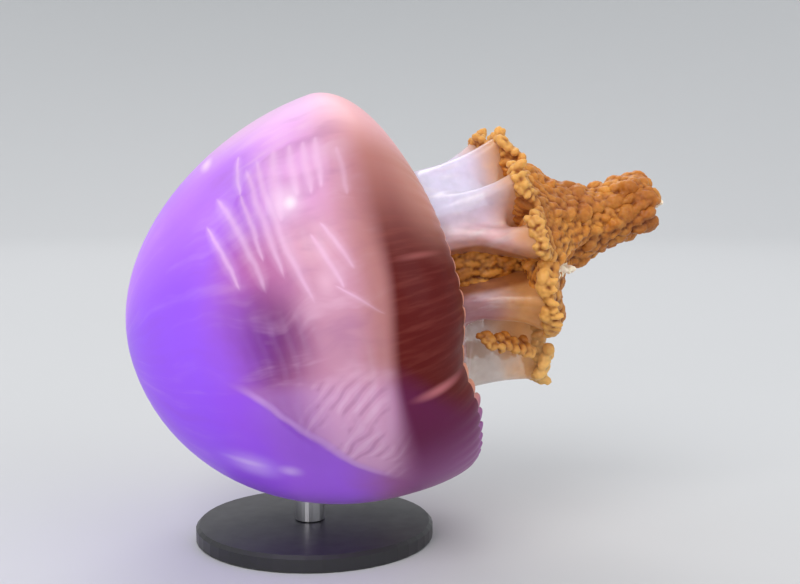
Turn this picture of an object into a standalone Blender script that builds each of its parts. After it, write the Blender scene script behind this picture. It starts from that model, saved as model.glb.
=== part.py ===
"""A swimming blubber jellyfish, life size, held by a plain display stand.

The animal is drawn upright, apex at the origin and arms hanging down the Z axis, then turned
onto its side into its swimming pose. Metres, +Z up, origin in the middle of the base's underside.
"""
import math

import bmesh
import bpy
from mathutils import Matrix, Vector

MM = 0.001
GAP = 0.3 * MM                      # clearance left between neighbouring pieces

# Pose: the body axis runs from the apex to the arm tips, a little uphill and a little away.
APEX = Vector((-53.5, -7.0, 57.0)) * MM
PITCH = math.radians(14.0)
YAW = math.radians(7.5)

# Bell: a thick half-ellipsoid of jelly, then a thinning margin that ends in lappets.
BELL_RADIUS = 61.4 * MM
BELL_DEPTH = 70.0 * MM              # drop from the apex to the widest ring
CAVITY_RADIUS = 51.5 * MM           # inside of the jelly at the widest ring
APEX_THICKNESS = 28.5 * MM
UPPER_FLATNESS = 3.6 * MM           # how far the uppermost side falls short of the ellipse
LOWER_FULLNESS = 0.9 * MM           # how far the lowest side swells past it
BELL_SEGMENTS = 64
OUTER_STEPS = 9
INNER_STEPS = 6

# Margin: rolled inward on the upper side, nearly straight on the lower side.
RIM_RADIUS_UPPER = 38.0 * MM
RIM_RADIUS_LOWER = 58.8 * MM
RIM_DROP_UPPER = 90.5 * MM
RIM_DROP_LOWER = 88.0 * MM
RIM_DROP_SIDE = 3.2 * MM            # the flanks of the rim reach a little farther than either
FOLD_DEPTH = 3.0 * MM               # notch in each flank, where the upper half has rolled in more
FOLD_BEARING = math.radians(112.0)
FOLD_WIDTH = math.radians(8.0)
ROLL_ANGLE = math.radians(65.0)
ROOT_THICKNESS = BELL_RADIUS - CAVITY_RADIUS
RIM_THICKNESS = 1.8 * MM
MARGIN_STEPS = 5

# Lappets: eight groups of eight, with a deeper cleft for the sense organ between groups.
LAPPETS = 64
LAPPETS_PER_GROUP = 8
POINTS_PER_LAPPET = 4
LAPPET_ROOT = 1.6 * MM
LAPPET_LENGTH = 1.9 * MM
LAPPET_TIP_THICKNESS = 0.8 * MM
CLEFT_DEPTH = 0.9 * MM

# Stomach: four pillars come down from the roof of the bell to the disc that carries the arms.
PILLARS = 4
PILLAR_CENTRE = 18.0 * MM
PILLAR_RADIAL = 5.0 * MM
PILLAR_TANGENTIAL = 8.0 * MM
PILLAR_FLARE = 1.35
PILLAR_SIDES = 12
PILLAR_ROOF = 34.0 * MM             # above the roof of the hollow, which trims the pillar
PILLAR_STATIONS = ((PILLAR_ROOF, PILLAR_FLARE), (50.0 * MM, 1.1), (64.0 * MM, 1.0))
DISC_RADIUS = 27.0 * MM
DISC_TOP = 80.0 * MM
DISC_BOTTOM = 94.0 * MM
DISC_EDGE = 4.0 * MM

# Arms: bearing of the root and of the shoulder in degrees, then in millimetres the drop and
# radius of the shoulder, the drop where the arm joins the club, and the drop of its tip.
# Bearings run clockwise seen from above the apex, from the side that swims uppermost.
ARMS = (
    (12.0, 10.0, 121.0, 36.5, 144.0, 166.5),
    (40.0, 47.0, 119.5, 36.5, 144.0, 165.0),
    (58.0, 78.0, 119.0, 36.5, 141.0, 167.0),
    (112.0, 114.0, 118.5, 35.5, 132.0, 164.0),
    (165.0, 172.0, 114.5, 37.5, 129.0, 158.0),
    (220.0, 222.0, 117.0, 35.5, 131.0, 162.0),
    (272.0, 272.0, 120.5, 36.5, 141.0, 165.5),
    (332.0, 332.0, 118.0, 37.5, 144.0, 167.0),
)
ARM_ROOT_DROP = DISC_BOTTOM + GAP
ARM_ROOT_RADIUS = 26.0 * MM
ARM_INNER_ROOT = 13.0 * MM
ARM_INNER_END = 11.5 * MM
KEEL_WIDTH = 4.6 * MM
ARM_STATIONS = 7

# Frills: the mouth folds that cover the lower arms and draw together into one club.
CLUB_RADIUS = 9.9 * MM
CLUB_START = 138.0 * MM             # where the hollow between the arms has closed
SHOULDER_LENGTH = 1.6 * MM
DRAW_IN_POWER = 0.55                # how steeply a lower arm falls from its shoulder to the club
FRILL_WIDTH = 13.0 * MM
CLUB_WIDTH = 10.0 * MM
ARM_EDGE = 0.44
FRILL_EDGE = 0.62
CLUB_SWAY = 6.5 * MM                # how far the club leans toward the uppermost side
SWAY_START = 121.0 * MM
SWAY_END = 162.0 * MM
FRILL_OVERHANG = 1.4 * MM
FRILL_STATIONS = 12
FRILL_LUMP = 0.9 * MM
TIP_BLUNTNESS = 16                  # a higher power keeps the club wide for longer
TIP_SHARE = 0.5                     # part of the club's radius that its very end keeps
CLUB_INNER = 1.6 * MM

CORE_END = 133.0 * MM
CORE_STEPS = 6
CORE_FILL = 0.93                    # share of the hollow between the arms that the core fills
CORE_SEGMENTS = 16

# Stand: a round base and one rod whose head is hollowed to the bell.
BASE_RADIUS = 36.0 * MM
BASE_HEIGHT = 5.0 * MM
BASE_BEVEL = 1.0 * MM
ROD_RADIUS = 4.5 * MM
ROD_HEAD_DROP = 40.0 * MM           # where along the bell the rod holds it
ROD_SEGMENTS = 24
BASE_SEGMENTS = 48


def pose_matrix():
    """Turn from the upright animal to the swimming pose."""
    axis = Vector((math.cos(PITCH) * math.cos(YAW),
                   math.cos(PITCH) * math.sin(YAW),
                   math.sin(PITCH)))
    upper = (Vector((0.0, 0.0, 1.0)) - axis * axis.z).normalized()
    side = (-axis).cross(upper)
    turn = Matrix((upper, side, -axis)).transposed().to_4x4()
    return Matrix.Translation(APEX) @ turn


POSE = pose_matrix()


def around(bearing, radius, drop):
    """A point at a bearing (radians), radius and drop below the apex, in the upright frame."""
    return Vector((radius * math.cos(bearing), -radius * math.sin(bearing), -drop))


def smooth(value):
    """Ease from 0 to 1."""
    value = min(1.0, max(0.0, value))
    return value * value * (3.0 - 2.0 * value)


def clear_scene():
    for obj in list(bpy.data.objects):
        bpy.data.objects.remove(obj, do_unlink=True)


def make_collection(name):
    collection = bpy.data.collections.new(name)
    bpy.context.scene.collection.children.link(collection)
    return collection


def material(name, colour, roughness, alpha=1.0, metallic=0.0):
    mat = bpy.data.materials.new(name)
    mat.use_nodes = True
    shader = mat.node_tree.nodes["Principled BSDF"]
    shader.inputs["Base Color"].default_value = (*colour, 1.0)
    shader.inputs["Roughness"].default_value = roughness
    shader.inputs["Alpha"].default_value = alpha
    shader.inputs["Metallic"].default_value = metallic
    return mat


def add_object(name, bm, collection, mat, posed=True):
    """Make an object of a bmesh, with its faces turned outward."""
    bmesh.ops.recalc_face_normals(bm, faces=bm.faces)
    mesh = bpy.data.meshes.new(name)
    bm.to_mesh(mesh)
    bm.free()
    obj = bpy.data.objects.new(name, mesh)
    obj.data.materials.append(mat)
    collection.objects.link(obj)
    if posed:
        obj.matrix_world = POSE
    mesh.shade_smooth()
    mesh.set_sharp_from_angle(angle=math.radians(50.0))
    return obj


def bridge_rings(bm, rings, closed):
    """Join rings of points, each one loop, into a tube; closed joins the last to the first."""
    rows = [[bm.verts.new(point) for point in ring] for ring in rings]
    pairs = list(zip(rows, rows[1:]))
    if closed:
        pairs.append((rows[-1], rows[0]))
    for low, high in pairs:
        count = len(low)
        for index in range(count):
            after = (index + 1) % count
            bm.faces.new((low[index], low[after], high[after], high[index]))
    return rows


def cap(bm, row, point=None):
    """Close the end of a tube with a fan round a point, or round its own middle."""
    if point is None:
        point = sum((vert.co for vert in row), Vector()) / len(row)
    middle = bm.verts.new(point)
    for index, vert in enumerate(row):
        bm.faces.new((vert, row[(index + 1) % len(row)], middle))


def turned(name, profile, collection, mat, steps, posed=True):
    """A turned solid: the profile is (radius, height) from the top, down its outer side."""
    bm = bmesh.new()
    verts = [bm.verts.new((radius, 0.0, height)) for radius, height in profile]
    for first, second in zip(verts, verts[1:]):
        bm.edges.new((first, second))
    mesh = bpy.data.meshes.new(name)
    bm.to_mesh(mesh)
    bm.free()
    obj = bpy.data.objects.new(name, mesh)
    obj.data.materials.append(mat)
    collection.objects.link(obj)
    if posed:
        obj.matrix_world = POSE
    screw = obj.modifiers.new("Turn", "SCREW")
    screw.axis = "Z"
    screw.steps = steps
    screw.render_steps = steps
    screw.use_merge_vertices = True
    screw.merge_threshold = 0.00001
    screw.use_smooth_shade = True
    return obj


def ellipse_arc(radius, depth, top, steps, grow=0.0):
    """(radius, height) points of a quarter ellipse from its pole down to its widest ring."""
    points = []
    for step in range(steps + 1):
        angle = 0.5 * math.pi * step / steps
        points.append(((radius + grow) * math.sin(angle),
                       -(top + depth) + (depth + grow) * math.cos(angle)))
    return points


def upperness(bearing):
    """1 on the side that swims uppermost, 0 on the side that swims lowest."""
    return 0.5 * (1.0 + math.cos(bearing))


def dome_radius(bearing, angle):
    """Radius of the dome's outer face; the angle runs from 0 at the apex to 90 degrees."""
    share = upperness(bearing)
    swell = LOWER_FULLNESS * (1.0 - share) ** 2 - UPPER_FLATNESS * share ** 2
    return BELL_RADIUS * math.sin(angle) + swell * math.sin(2.0 * angle)


def dome_ring(angle, grow=0.0):
    """One ring of the dome's outer face, swollen by a clearance."""
    drop = BELL_DEPTH * (1.0 - math.cos(angle)) - grow * math.cos(angle)
    ring = []
    for index in range(BELL_SEGMENTS):
        bearing = -2.0 * math.pi * index / BELL_SEGMENTS
        ring.append(around(bearing, dome_radius(bearing, angle) + grow * math.sin(angle), drop))
    return ring


def plain_ring(radius, drop):
    """A round ring of points with the bell's own spacing."""
    return [around(-2.0 * math.pi * index / BELL_SEGMENTS, radius, drop)
            for index in range(BELL_SEGMENTS)]


def build_dome(collection, mat):
    """The thick dome, from its apex over its widest ring to the roof of the hollow."""
    bm = bmesh.new()
    rings = [dome_ring(0.5 * math.pi * step / OUTER_STEPS) for step in range(1, OUTER_STEPS + 1)]
    inner = ellipse_arc(CAVITY_RADIUS, BELL_DEPTH - APEX_THICKNESS, APEX_THICKNESS, INNER_STEPS)
    rings += [plain_ring(radius, -height) for radius, height in reversed(inner[1:])]
    rows = bridge_rings(bm, rings, closed=False)
    cap(bm, rows[0], Vector())
    cap(bm, rows[-1], around(0.0, 0.0, APEX_THICKNESS))
    return add_object("bell_dome", bm, collection, mat)


def fold_share(bearing):
    """1 in the middle of the notch in either flank, 0 away from it."""
    flank = math.acos(math.cos(bearing))
    return math.exp(-0.5 * ((flank - FOLD_BEARING) / FOLD_WIDTH) ** 2)


def margin_point(bearing, along):
    """Radius and drop of the outer face of the margin, along 0 at the dome to 1 at the rim."""
    share = upperness(bearing)
    rim_radius = RIM_RADIUS_LOWER + (RIM_RADIUS_UPPER - RIM_RADIUS_LOWER) * share
    rim_drop = RIM_DROP_LOWER + (RIM_DROP_UPPER - RIM_DROP_LOWER) * share
    rim_drop += RIM_DROP_SIDE * math.sin(bearing) ** 2 - FOLD_DEPTH * fold_share(bearing)
    angle = ROLL_ANGLE * along
    inward = (1.0 - math.cos(angle)) / (1.0 - math.cos(ROLL_ANGLE))
    down = math.sin(angle) / math.sin(ROLL_ANGLE)
    radius = BELL_RADIUS - (BELL_RADIUS - rim_radius) * inward
    drop = BELL_DEPTH + GAP + (rim_drop - BELL_DEPTH - GAP) * down
    return radius, drop


def margin_heading(bearing, along):
    """Unit direction (radius, drop) in which the margin runs at a place."""
    step = 0.001
    before = margin_point(bearing, along - step)
    after = margin_point(bearing, along + step)
    run = (after[0] - before[0], after[1] - before[1])
    length = math.hypot(*run)
    return run[0] / length, run[1] / length


def margin_thickness(along):
    return RIM_THICKNESS + (ROOT_THICKNESS - RIM_THICKNESS) * (1.0 - along)


def margin_ring(along, inside):
    ring = []
    for index in range(BELL_SEGMENTS):
        bearing = -2.0 * math.pi * index / BELL_SEGMENTS
        radius, drop = margin_point(bearing, along)
        if inside:
            heading = margin_heading(bearing, along)
            depth = margin_thickness(along)
            radius -= heading[1] * depth
            drop += heading[0] * depth
        ring.append(around(bearing, radius, drop))
    return ring


def build_margin(collection, mat):
    """The thinning band between the dome and the lappets."""
    bm = bmesh.new()
    places = [step / MARGIN_STEPS for step in range(MARGIN_STEPS + 1)]
    rings = [margin_ring(place, False) for place in places]
    inner = [margin_ring(place, True) for place in reversed(places[1:])]
    rings += inner
    last = []
    for index in range(BELL_SEGMENTS):
        bearing = -2.0 * math.pi * index / BELL_SEGMENTS
        last.append(around(bearing, CAVITY_RADIUS, BELL_DEPTH + GAP))
    rings.append(last)
    bridge_rings(bm, rings, closed=True)
    return add_object("bell_margin", bm, collection, mat)


def scallop(index):
    """Extra length of the rim at a point of the lappet ring, 1 at the middle of a lappet."""
    part = index % POINTS_PER_LAPPET
    if part:
        return math.sin(math.pi * part / POINTS_PER_LAPPET) ** 0.5
    lappet = index // POINTS_PER_LAPPET
    if lappet % LAPPETS_PER_GROUP == 0:
        return -CLEFT_DEPTH / LAPPET_LENGTH
    return 0.0


def build_lappets(collection, mat):
    """The scalloped edge of the bell, all lappets joined into one ring."""
    bm = bmesh.new()
    count = LAPPETS * POINTS_PER_LAPPET
    rings = [[], [], [], []]
    for index in range(count):
        bearing = -2.0 * math.pi * index / count
        radius, drop = margin_point(bearing, 1.0)
        heading = margin_heading(bearing, 1.0)
        reach = LAPPET_ROOT + LAPPET_LENGTH * scallop(index)
        corners = (
            (GAP, 0.0),
            (GAP + reach, 0.5 * (RIM_THICKNESS - LAPPET_TIP_THICKNESS)),
            (GAP + reach, 0.5 * (RIM_THICKNESS + LAPPET_TIP_THICKNESS)),
            (GAP, RIM_THICKNESS),
        )
        for ring, (forward, inward) in zip(rings, corners):
            ring.append(around(bearing,
                               radius + heading[0] * forward - heading[1] * inward,
                               drop + heading[1] * forward + heading[0] * inward))
    bridge_rings(bm, rings, closed=True)
    return add_object("bell_lappets", bm, collection, mat)


def build_cavity_cutter(collection, mat):
    """A body that fills the bell's hollow, less the clearance, to trim the pillars with."""
    roof = ellipse_arc(CAVITY_RADIUS, BELL_DEPTH - APEX_THICKNESS, APEX_THICKNESS,
                       2 * INNER_STEPS, grow=-GAP)
    floor = -(DISC_TOP - GAP)
    profile = roof + [(CAVITY_RADIUS - GAP, floor), (0.0, floor)]
    profile[0] = (0.0, profile[0][1])
    cutter = turned("cut_hollow", profile, collection, mat, BELL_SEGMENTS)
    cutter.hide_render = True
    cutter.display_type = "WIRE"
    return cutter


def build_pillars(collection, mat, cutter):
    """The four pillars between the roof of the bell and the arm disc."""
    for number in range(PILLARS):
        bearing = 2.0 * math.pi * (number + 0.5) / PILLARS
        bm = bmesh.new()
        rings = []
        feet = ((DISC_TOP, PILLAR_FLARE), (DISC_TOP + 2.0 * MM, PILLAR_FLARE))
        for drop, flare in PILLAR_STATIONS + feet:
            ring = []
            for index in range(PILLAR_SIDES):
                angle = -2.0 * math.pi * index / PILLAR_SIDES
                radial = PILLAR_CENTRE + PILLAR_RADIAL * flare * math.cos(angle)
                sideways = PILLAR_TANGENTIAL * flare * math.sin(angle)
                spot = around(bearing, radial, drop)
                across = around(bearing + 0.5 * math.pi, sideways, 0.0)
                ring.append(spot + across)
            rings.append(ring)
        rows = bridge_rings(bm, rings, closed=False)
        cap(bm, rows[0])
        cap(bm, rows[-1])
        obj = add_object("stomach_pillar_%d" % (number + 1), bm, collection, mat)
        trim = obj.modifiers.new("Trim", "BOOLEAN")
        trim.operation = "INTERSECT"
        trim.solver = "EXACT"
        trim.object = cutter


def build_arm_disc(collection, mat):
    top, bottom = -DISC_TOP, -DISC_BOTTOM
    rim = DISC_RADIUS
    profile = [
        (0.0, top),
        (rim - 2.0 * DISC_EDGE, top),
        (rim - 0.5 * DISC_EDGE, top - 0.6 * DISC_EDGE),
        (rim, top - 1.6 * DISC_EDGE),
        (rim, bottom + 0.6 * DISC_EDGE),
        (rim - 0.5 * DISC_EDGE, bottom),
        (0.0, bottom),
    ]
    return turned("arm_disc", profile, collection, mat, CORE_SEGMENTS * 2)


def arm_bearing(number, drop):
    """Bearing of an arm's keel at a drop, in radians; it drifts from the root to the shoulder."""
    root, shoulder, shoulder_drop = ARMS[number][:3]
    share = smooth((drop - ARM_ROOT_DROP) / (shoulder_drop * MM - ARM_ROOT_DROP))
    return math.radians(root + (shoulder - root) * share)


def half_gap(number, side, drop):
    """Half of the angle to the next arm on one side (+1 or -1) at a drop, in radians."""
    here = arm_bearing(number, drop)
    there = arm_bearing((number + side) % len(ARMS), drop)
    return 0.5 * (((there - here) * side) % (2.0 * math.pi))


def sway(drop):
    """How far the club has leaned over at a drop."""
    return CLUB_SWAY * smooth((drop - SWAY_START) / (SWAY_END - SWAY_START))


def three_winged(number, drop, inner, outer, keel, edge):
    """One cross-section of an arm: a keel outward and two wings spread inward.

    The keel is its width, and edge is the part of that width that its outer rim keeps.
    """
    bearing = arm_bearing(number, drop)
    depth = outer - inner
    ring = []
    for side, order in ((1, (0, 1, 2, 3, 4)), (-1, (4, 3, 2, 1, 0))):
        spread = half_gap(number, side, drop)
        for step in order:
            radius, width = (
                (outer, 0.5 * edge * keel),
                (outer - 0.12 * depth, 0.5 * keel),
                (outer - 0.5 * depth, 0.5 * keel + 0.06 * depth),
                (inner + 0.16 * depth, 0.8 * (inner + 0.16 * depth) * math.tan(spread)),
                (inner, 0.55 * inner * math.tan(spread)),
            )[step]
            limit = radius * math.tan(spread) - 0.75 * GAP
            width = min(width, limit)
            spot = around(bearing, radius, drop)
            across = around(bearing + 0.5 * math.pi, side * width, 0.0)
            ring.append(spot + across + Vector((sway(drop), 0.0, 0.0)))
    return ring


def hollow_radius(drop):
    """Radius of the space left between the arms at a drop."""
    if drop < SWAY_START:
        along = (drop - ARM_ROOT_DROP) / (SWAY_START - ARM_ROOT_DROP)
        return ARM_INNER_ROOT + (ARM_INNER_END - ARM_INNER_ROOT) * along
    closing = smooth((drop - SWAY_START) / (CLUB_START - SWAY_START))
    return ARM_INNER_END + (CLUB_INNER - ARM_INNER_END) * closing


def build_arm(number, collection, mat):
    """The smooth upper length of an arm, from the disc out to its shoulder."""
    shoulder, spread = ARMS[number][2] * MM, ARMS[number][3] * MM
    bm = bmesh.new()
    rings = []
    for station in range(ARM_STATIONS):
        along = station / (ARM_STATIONS - 1)
        drop = ARM_ROOT_DROP + (shoulder - ARM_ROOT_DROP) * along
        outer = ARM_ROOT_RADIUS + (spread - ARM_ROOT_RADIUS) * math.sin(0.5 * math.pi * along)
        keel = KEEL_WIDTH * (1.0 + 0.5 * (2.0 * along - 1.0) ** 2)
        rings.append(three_winged(number, drop, hollow_radius(drop), outer, keel, ARM_EDGE))
    rows = bridge_rings(bm, rings, closed=False)
    cap(bm, rows[0])
    cap(bm, rows[-1])
    return add_object("arm_%d" % (number + 1), bm, collection, mat)


def build_frill(number, collection, mat):
    """The frilled lower length of an arm, from its shoulder in to the club and along it."""
    shoulder, spread, gather, tip = (value * MM for value in ARMS[number][2:])
    start = shoulder + GAP
    bm = bmesh.new()
    rings = []
    for station in range(FRILL_STATIONS):
        share = station / (FRILL_STATIONS - 1)
        along = 0.5 * (share + smooth(share))
        drop = start + (tip - start) * along
        past = max(0.0, drop - start - SHOULDER_LENGTH)
        fall = min(1.0, past / (gather - start)) ** DRAW_IN_POWER
        outer = spread + FRILL_OVERHANG + (CLUB_RADIUS - spread - FRILL_OVERHANG) * fall
        blunt = math.sqrt(max(0.0, 1.0 - along ** TIP_BLUNTNESS))
        lump = FRILL_LUMP * math.sin(2.4 * station + 1.9 * number)
        outer = (outer + lump) * (TIP_SHARE + (1.0 - TIP_SHARE) * blunt)
        inner = hollow_radius(drop)
        outer = max(outer, inner + 1.5 * MM)
        keel = CLUB_WIDTH + (FRILL_WIDTH - CLUB_WIDTH) * (1.0 - fall) + lump
        rings.append(three_winged(number, drop, inner, outer, keel, FRILL_EDGE))
    rows = bridge_rings(bm, rings, closed=False)
    cap(bm, rows[0])
    cap(bm, rows[-1])
    return add_object("arm_%d_frill" % (number + 1), bm, collection, mat)


def build_core(collection, mat):
    """The mouth folds in the middle, between the arms."""
    bm = bmesh.new()
    rings = []
    for step in range(CORE_STEPS + 1):
        drop = ARM_ROOT_DROP + (CORE_END - ARM_ROOT_DROP) * step / CORE_STEPS
        radius = CORE_FILL * hollow_radius(drop)
        lean = Vector((sway(drop), 0.0, 0.0))
        rings.append([around(-2.0 * math.pi * index / CORE_SEGMENTS, radius, drop) + lean
                      for index in range(CORE_SEGMENTS)])
    rows = bridge_rings(bm, rings, closed=False)
    cap(bm, rows[0])
    cap(bm, rows[-1])
    return add_object("mouth_core", bm, collection, mat)


def build_stand(collection, cutters, base_mat, rod_mat):
    """A round base and one rod, its head hollowed to sit under the bell."""
    angle = math.acos(1.0 - ROD_HEAD_DROP / BELL_DEPTH)
    hold = POSE @ around(math.pi, dome_radius(math.pi, angle), ROD_HEAD_DROP)
    base = turned("stand_base", [
        (0.0, BASE_HEIGHT),
        (BASE_RADIUS - BASE_BEVEL, BASE_HEIGHT),
        (BASE_RADIUS, BASE_HEIGHT - BASE_BEVEL),
        (BASE_RADIUS, BASE_BEVEL * 0.5),
        (BASE_RADIUS - BASE_BEVEL * 0.5, 0.0),
        (0.0, 0.0),
    ], collection, base_mat, BASE_SEGMENTS, posed=False)
    bm = bmesh.new()
    foot = BASE_HEIGHT + GAP
    head = hold.z + 4.0 * MM
    bmesh.ops.create_cone(bm, cap_ends=True, segments=ROD_SEGMENTS, radius1=ROD_RADIUS,
                          radius2=ROD_RADIUS, depth=head - foot)
    bmesh.ops.translate(bm, verts=bm.verts, vec=(hold.x, hold.y, 0.5 * (head + foot)))
    rod = add_object("stand_rod", bm, collection, rod_mat, posed=False)
    shell = bmesh.new()
    steps = 3 * OUTER_STEPS
    rings = [dome_ring(0.5 * math.pi * step / steps, GAP) for step in range(1, steps + 1)]
    rows = bridge_rings(shell, rings, closed=False)
    cap(shell, rows[0], around(0.0, 0.0, -GAP))
    cap(shell, rows[-1])
    cutter = add_object("cut_bell", shell, cutters, rod_mat)
    cutter.hide_render = True
    cutter.display_type = "WIRE"
    seat = rod.modifiers.new("Seat", "BOOLEAN")
    seat.operation = "DIFFERENCE"
    seat.solver = "EXACT"
    seat.object = cutter
    return base, rod


def main():
    clear_scene()
    body = make_collection("blubber_jellyfish")
    cutters = make_collection("cutters")
    jelly = material("bell_jelly", (0.42, 0.20, 0.80), 0.25, alpha=0.9)
    edge = material("margin_jelly", (0.30, 0.07, 0.06), 0.3)
    lappet = material("lappet_jelly", (0.80, 0.42, 0.36), 0.3)
    inside = material("stomach_flesh", (0.55, 0.25, 0.38), 0.4)
    arm = material("arm_jelly", (0.80, 0.62, 0.72), 0.3)
    frill = material("mouth_frill", (0.48, 0.20, 0.04), 0.5)
    base_paint = material("stand_black", (0.02, 0.02, 0.022), 0.35)
    rod_steel = material("stand_steel", (0.60, 0.60, 0.62), 0.3, metallic=1.0)
    build_dome(body, jelly)
    build_margin(body, edge)
    build_lappets(body, lappet)
    hollow = build_cavity_cutter(cutters, inside)
    build_pillars(body, inside, hollow)
    build_arm_disc(body, inside)
    build_core(body, frill)
    for number in range(len(ARMS)):
        build_arm(number, body, arm)
        build_frill(number, body, frill)
    build_stand(body, cutters, base_paint, rod_steel)


main()
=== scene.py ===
"""Looks of the blubber jellyfish on its display stand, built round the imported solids."""

import logging
import math
import random
from dataclasses import dataclass, field
from enum import Enum

import bmesh
import bpy
from mathutils import Matrix, Vector, kdtree, noise


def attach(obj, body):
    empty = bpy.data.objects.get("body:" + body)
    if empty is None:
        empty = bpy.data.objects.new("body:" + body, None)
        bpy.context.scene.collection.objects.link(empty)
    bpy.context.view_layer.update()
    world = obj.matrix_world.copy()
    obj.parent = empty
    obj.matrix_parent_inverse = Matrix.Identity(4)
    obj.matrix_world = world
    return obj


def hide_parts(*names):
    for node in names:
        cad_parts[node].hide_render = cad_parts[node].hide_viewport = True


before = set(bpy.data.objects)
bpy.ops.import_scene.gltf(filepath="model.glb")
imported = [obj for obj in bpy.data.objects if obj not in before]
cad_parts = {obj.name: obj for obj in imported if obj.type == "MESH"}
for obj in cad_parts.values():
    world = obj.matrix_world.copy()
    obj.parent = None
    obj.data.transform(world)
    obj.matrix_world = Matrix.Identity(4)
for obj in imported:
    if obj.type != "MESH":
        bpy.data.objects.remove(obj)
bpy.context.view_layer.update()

logging.basicConfig(level=logging.INFO, format="%(relativeCreated)7.0f ms  %(message)s")
log = logging.getLogger("jellyfish")

MM = 0.001
Colour = tuple[float, float, float, float]


def hold(value: float) -> float:
    """Holds a number between 0 and 1."""
    return min(1.0, max(0.0, value))


def ease(value: float) -> float:
    """Eases a share from 0 to 1, held at both ends."""
    value = hold(value)
    return value * value * (3.0 - 2.0 * value)


def between(low: float, high: float, share: float) -> float:
    """Mixes two numbers by a share."""
    return low + (high - low) * share


def around(bearing: float, radius: float, drop: float) -> Vector:
    """Places a point on the upright animal.

    Args:
        bearing: Angle round the axis in radians, 0 on the side that swims uppermost.
        radius: Distance from the axis.
        drop: Distance below the apex.

    Returns:
        The point in the upright frame.
    """
    return Vector((radius * math.cos(bearing), -radius * math.sin(bearing), -drop))


def bearing_of(spot: Vector) -> float:
    """Returns the bearing of an upright point, from 0 to a full turn."""
    return math.atan2(-spot.y, spot.x) % (2.0 * math.pi)


def turn_between(first: float, second: float) -> float:
    """Returns the signed angle from the first bearing to the second, within half a turn."""
    return (second - first + math.pi) % (2.0 * math.pi) - math.pi


@dataclass(frozen=True)
class Pose:
    """The turn from the upright animal to its swimming pose.

    Upright, the apex is at the origin and the arms hang down the Z axis; a bearing runs
    clockwise seen from above the apex, from the side that swims uppermost.
    """

    apex: tuple[float, float, float] = (-0.0535, -0.0070, 0.0570)
    pitch: float = math.radians(14.0)
    yaw: float = math.radians(7.5)

    def axis(self) -> Vector:
        """Returns the unit direction from the apex to the arm tips."""
        level = math.cos(self.pitch)
        return Vector((level * math.cos(self.yaw), level * math.sin(self.yaw), math.sin(self.pitch)))

    def upper(self) -> Vector:
        """Returns the unit direction across the axis that points most nearly up."""
        axis = self.axis()
        return (Vector((0.0, 0.0, 1.0)) - axis * axis.z).normalized()

    def near(self) -> Vector:
        """Returns the unit direction across the axis toward bearing 90 degrees."""
        return self.axis().cross(self.upper())

    def matrix(self) -> Matrix:
        """Returns the matrix that carries upright points to the swimming pose."""
        turn = Matrix((self.upper(), -self.near(), -self.axis())).transposed().to_4x4()
        return Matrix.Translation(Vector(self.apex)) @ turn


POSE = Pose()


def finish_mesh(name: str, bm: bmesh.types.BMesh, materials: list[bpy.types.Material]) -> bpy.types.Object:
    """Turns a bmesh into a smooth-shaded object at the origin.

    Args:
        name: The object's name.
        bm: The shape, which is freed.
        materials: The material of each slot.

    Returns:
        The object.
    """
    mesh = bpy.data.meshes.new(name)
    bm.to_mesh(mesh)
    bm.free()
    piece = bpy.data.objects.new(name, mesh)
    bpy.context.scene.collection.objects.link(piece)
    for mat in materials:
        mesh.materials.append(mat)
    mesh.shade_smooth()
    return piece


def grown_together(bm: bmesh.types.BMesh, voxel: float, soften: int) -> bmesh.types.BMesh:
    """Grows overlapping closed shapes into one skin.

    Args:
        bm: The shapes, which are freed.
        voxel: Grain of the new skin.
        soften: How many times the skin is relaxed.

    Returns:
        The skin.
    """
    body = finish_mesh("growing", bm, [])
    grow = body.modifiers.new("Grow", "REMESH")
    grow.mode = "VOXEL"
    grow.voxel_size = voxel
    relax = body.modifiers.new("Relax", "SMOOTH")
    relax.factor = 0.5
    relax.iterations = soften
    graph = bpy.context.evaluated_depsgraph_get()
    mesh = bpy.data.meshes.new_from_object(body.evaluated_get(graph))
    bpy.data.objects.remove(body, do_unlink=True)
    skin = bmesh.new()
    skin.from_mesh(mesh)
    bpy.data.meshes.remove(mesh)
    return skin


def add_part(bm: bmesh.types.BMesh, part: bmesh.types.BMesh) -> None:
    """Adds one shape to another.

    Args:
        bm: The shape that grows.
        part: The shape that is added, which is freed.
    """
    mesh = bpy.data.meshes.new("part")
    part.to_mesh(mesh)
    part.free()
    bm.from_mesh(mesh)
    bpy.data.meshes.remove(mesh)


def tube(sides: int, stations: int) -> bmesh.types.BMesh:
    """Makes a closed upright tube of radius 1, from z -0.5 to 0.5.

    Args:
        sides: Points round the tube.
        stations: Cuts along the tube.

    Returns:
        The tube.
    """
    bm = bmesh.new()
    bmesh.ops.create_cone(bm, cap_ends=True, segments=sides, radius1=1.0, radius2=1.0, depth=1.0)
    rails = [edge for edge in bm.edges if abs(edge.verts[0].co.z - edge.verts[1].co.z) > 0.5]
    bmesh.ops.subdivide_edges(bm, edges=rails, cuts=stations)
    return bm


# --------------------------------------------------------------------------- bell


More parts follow.
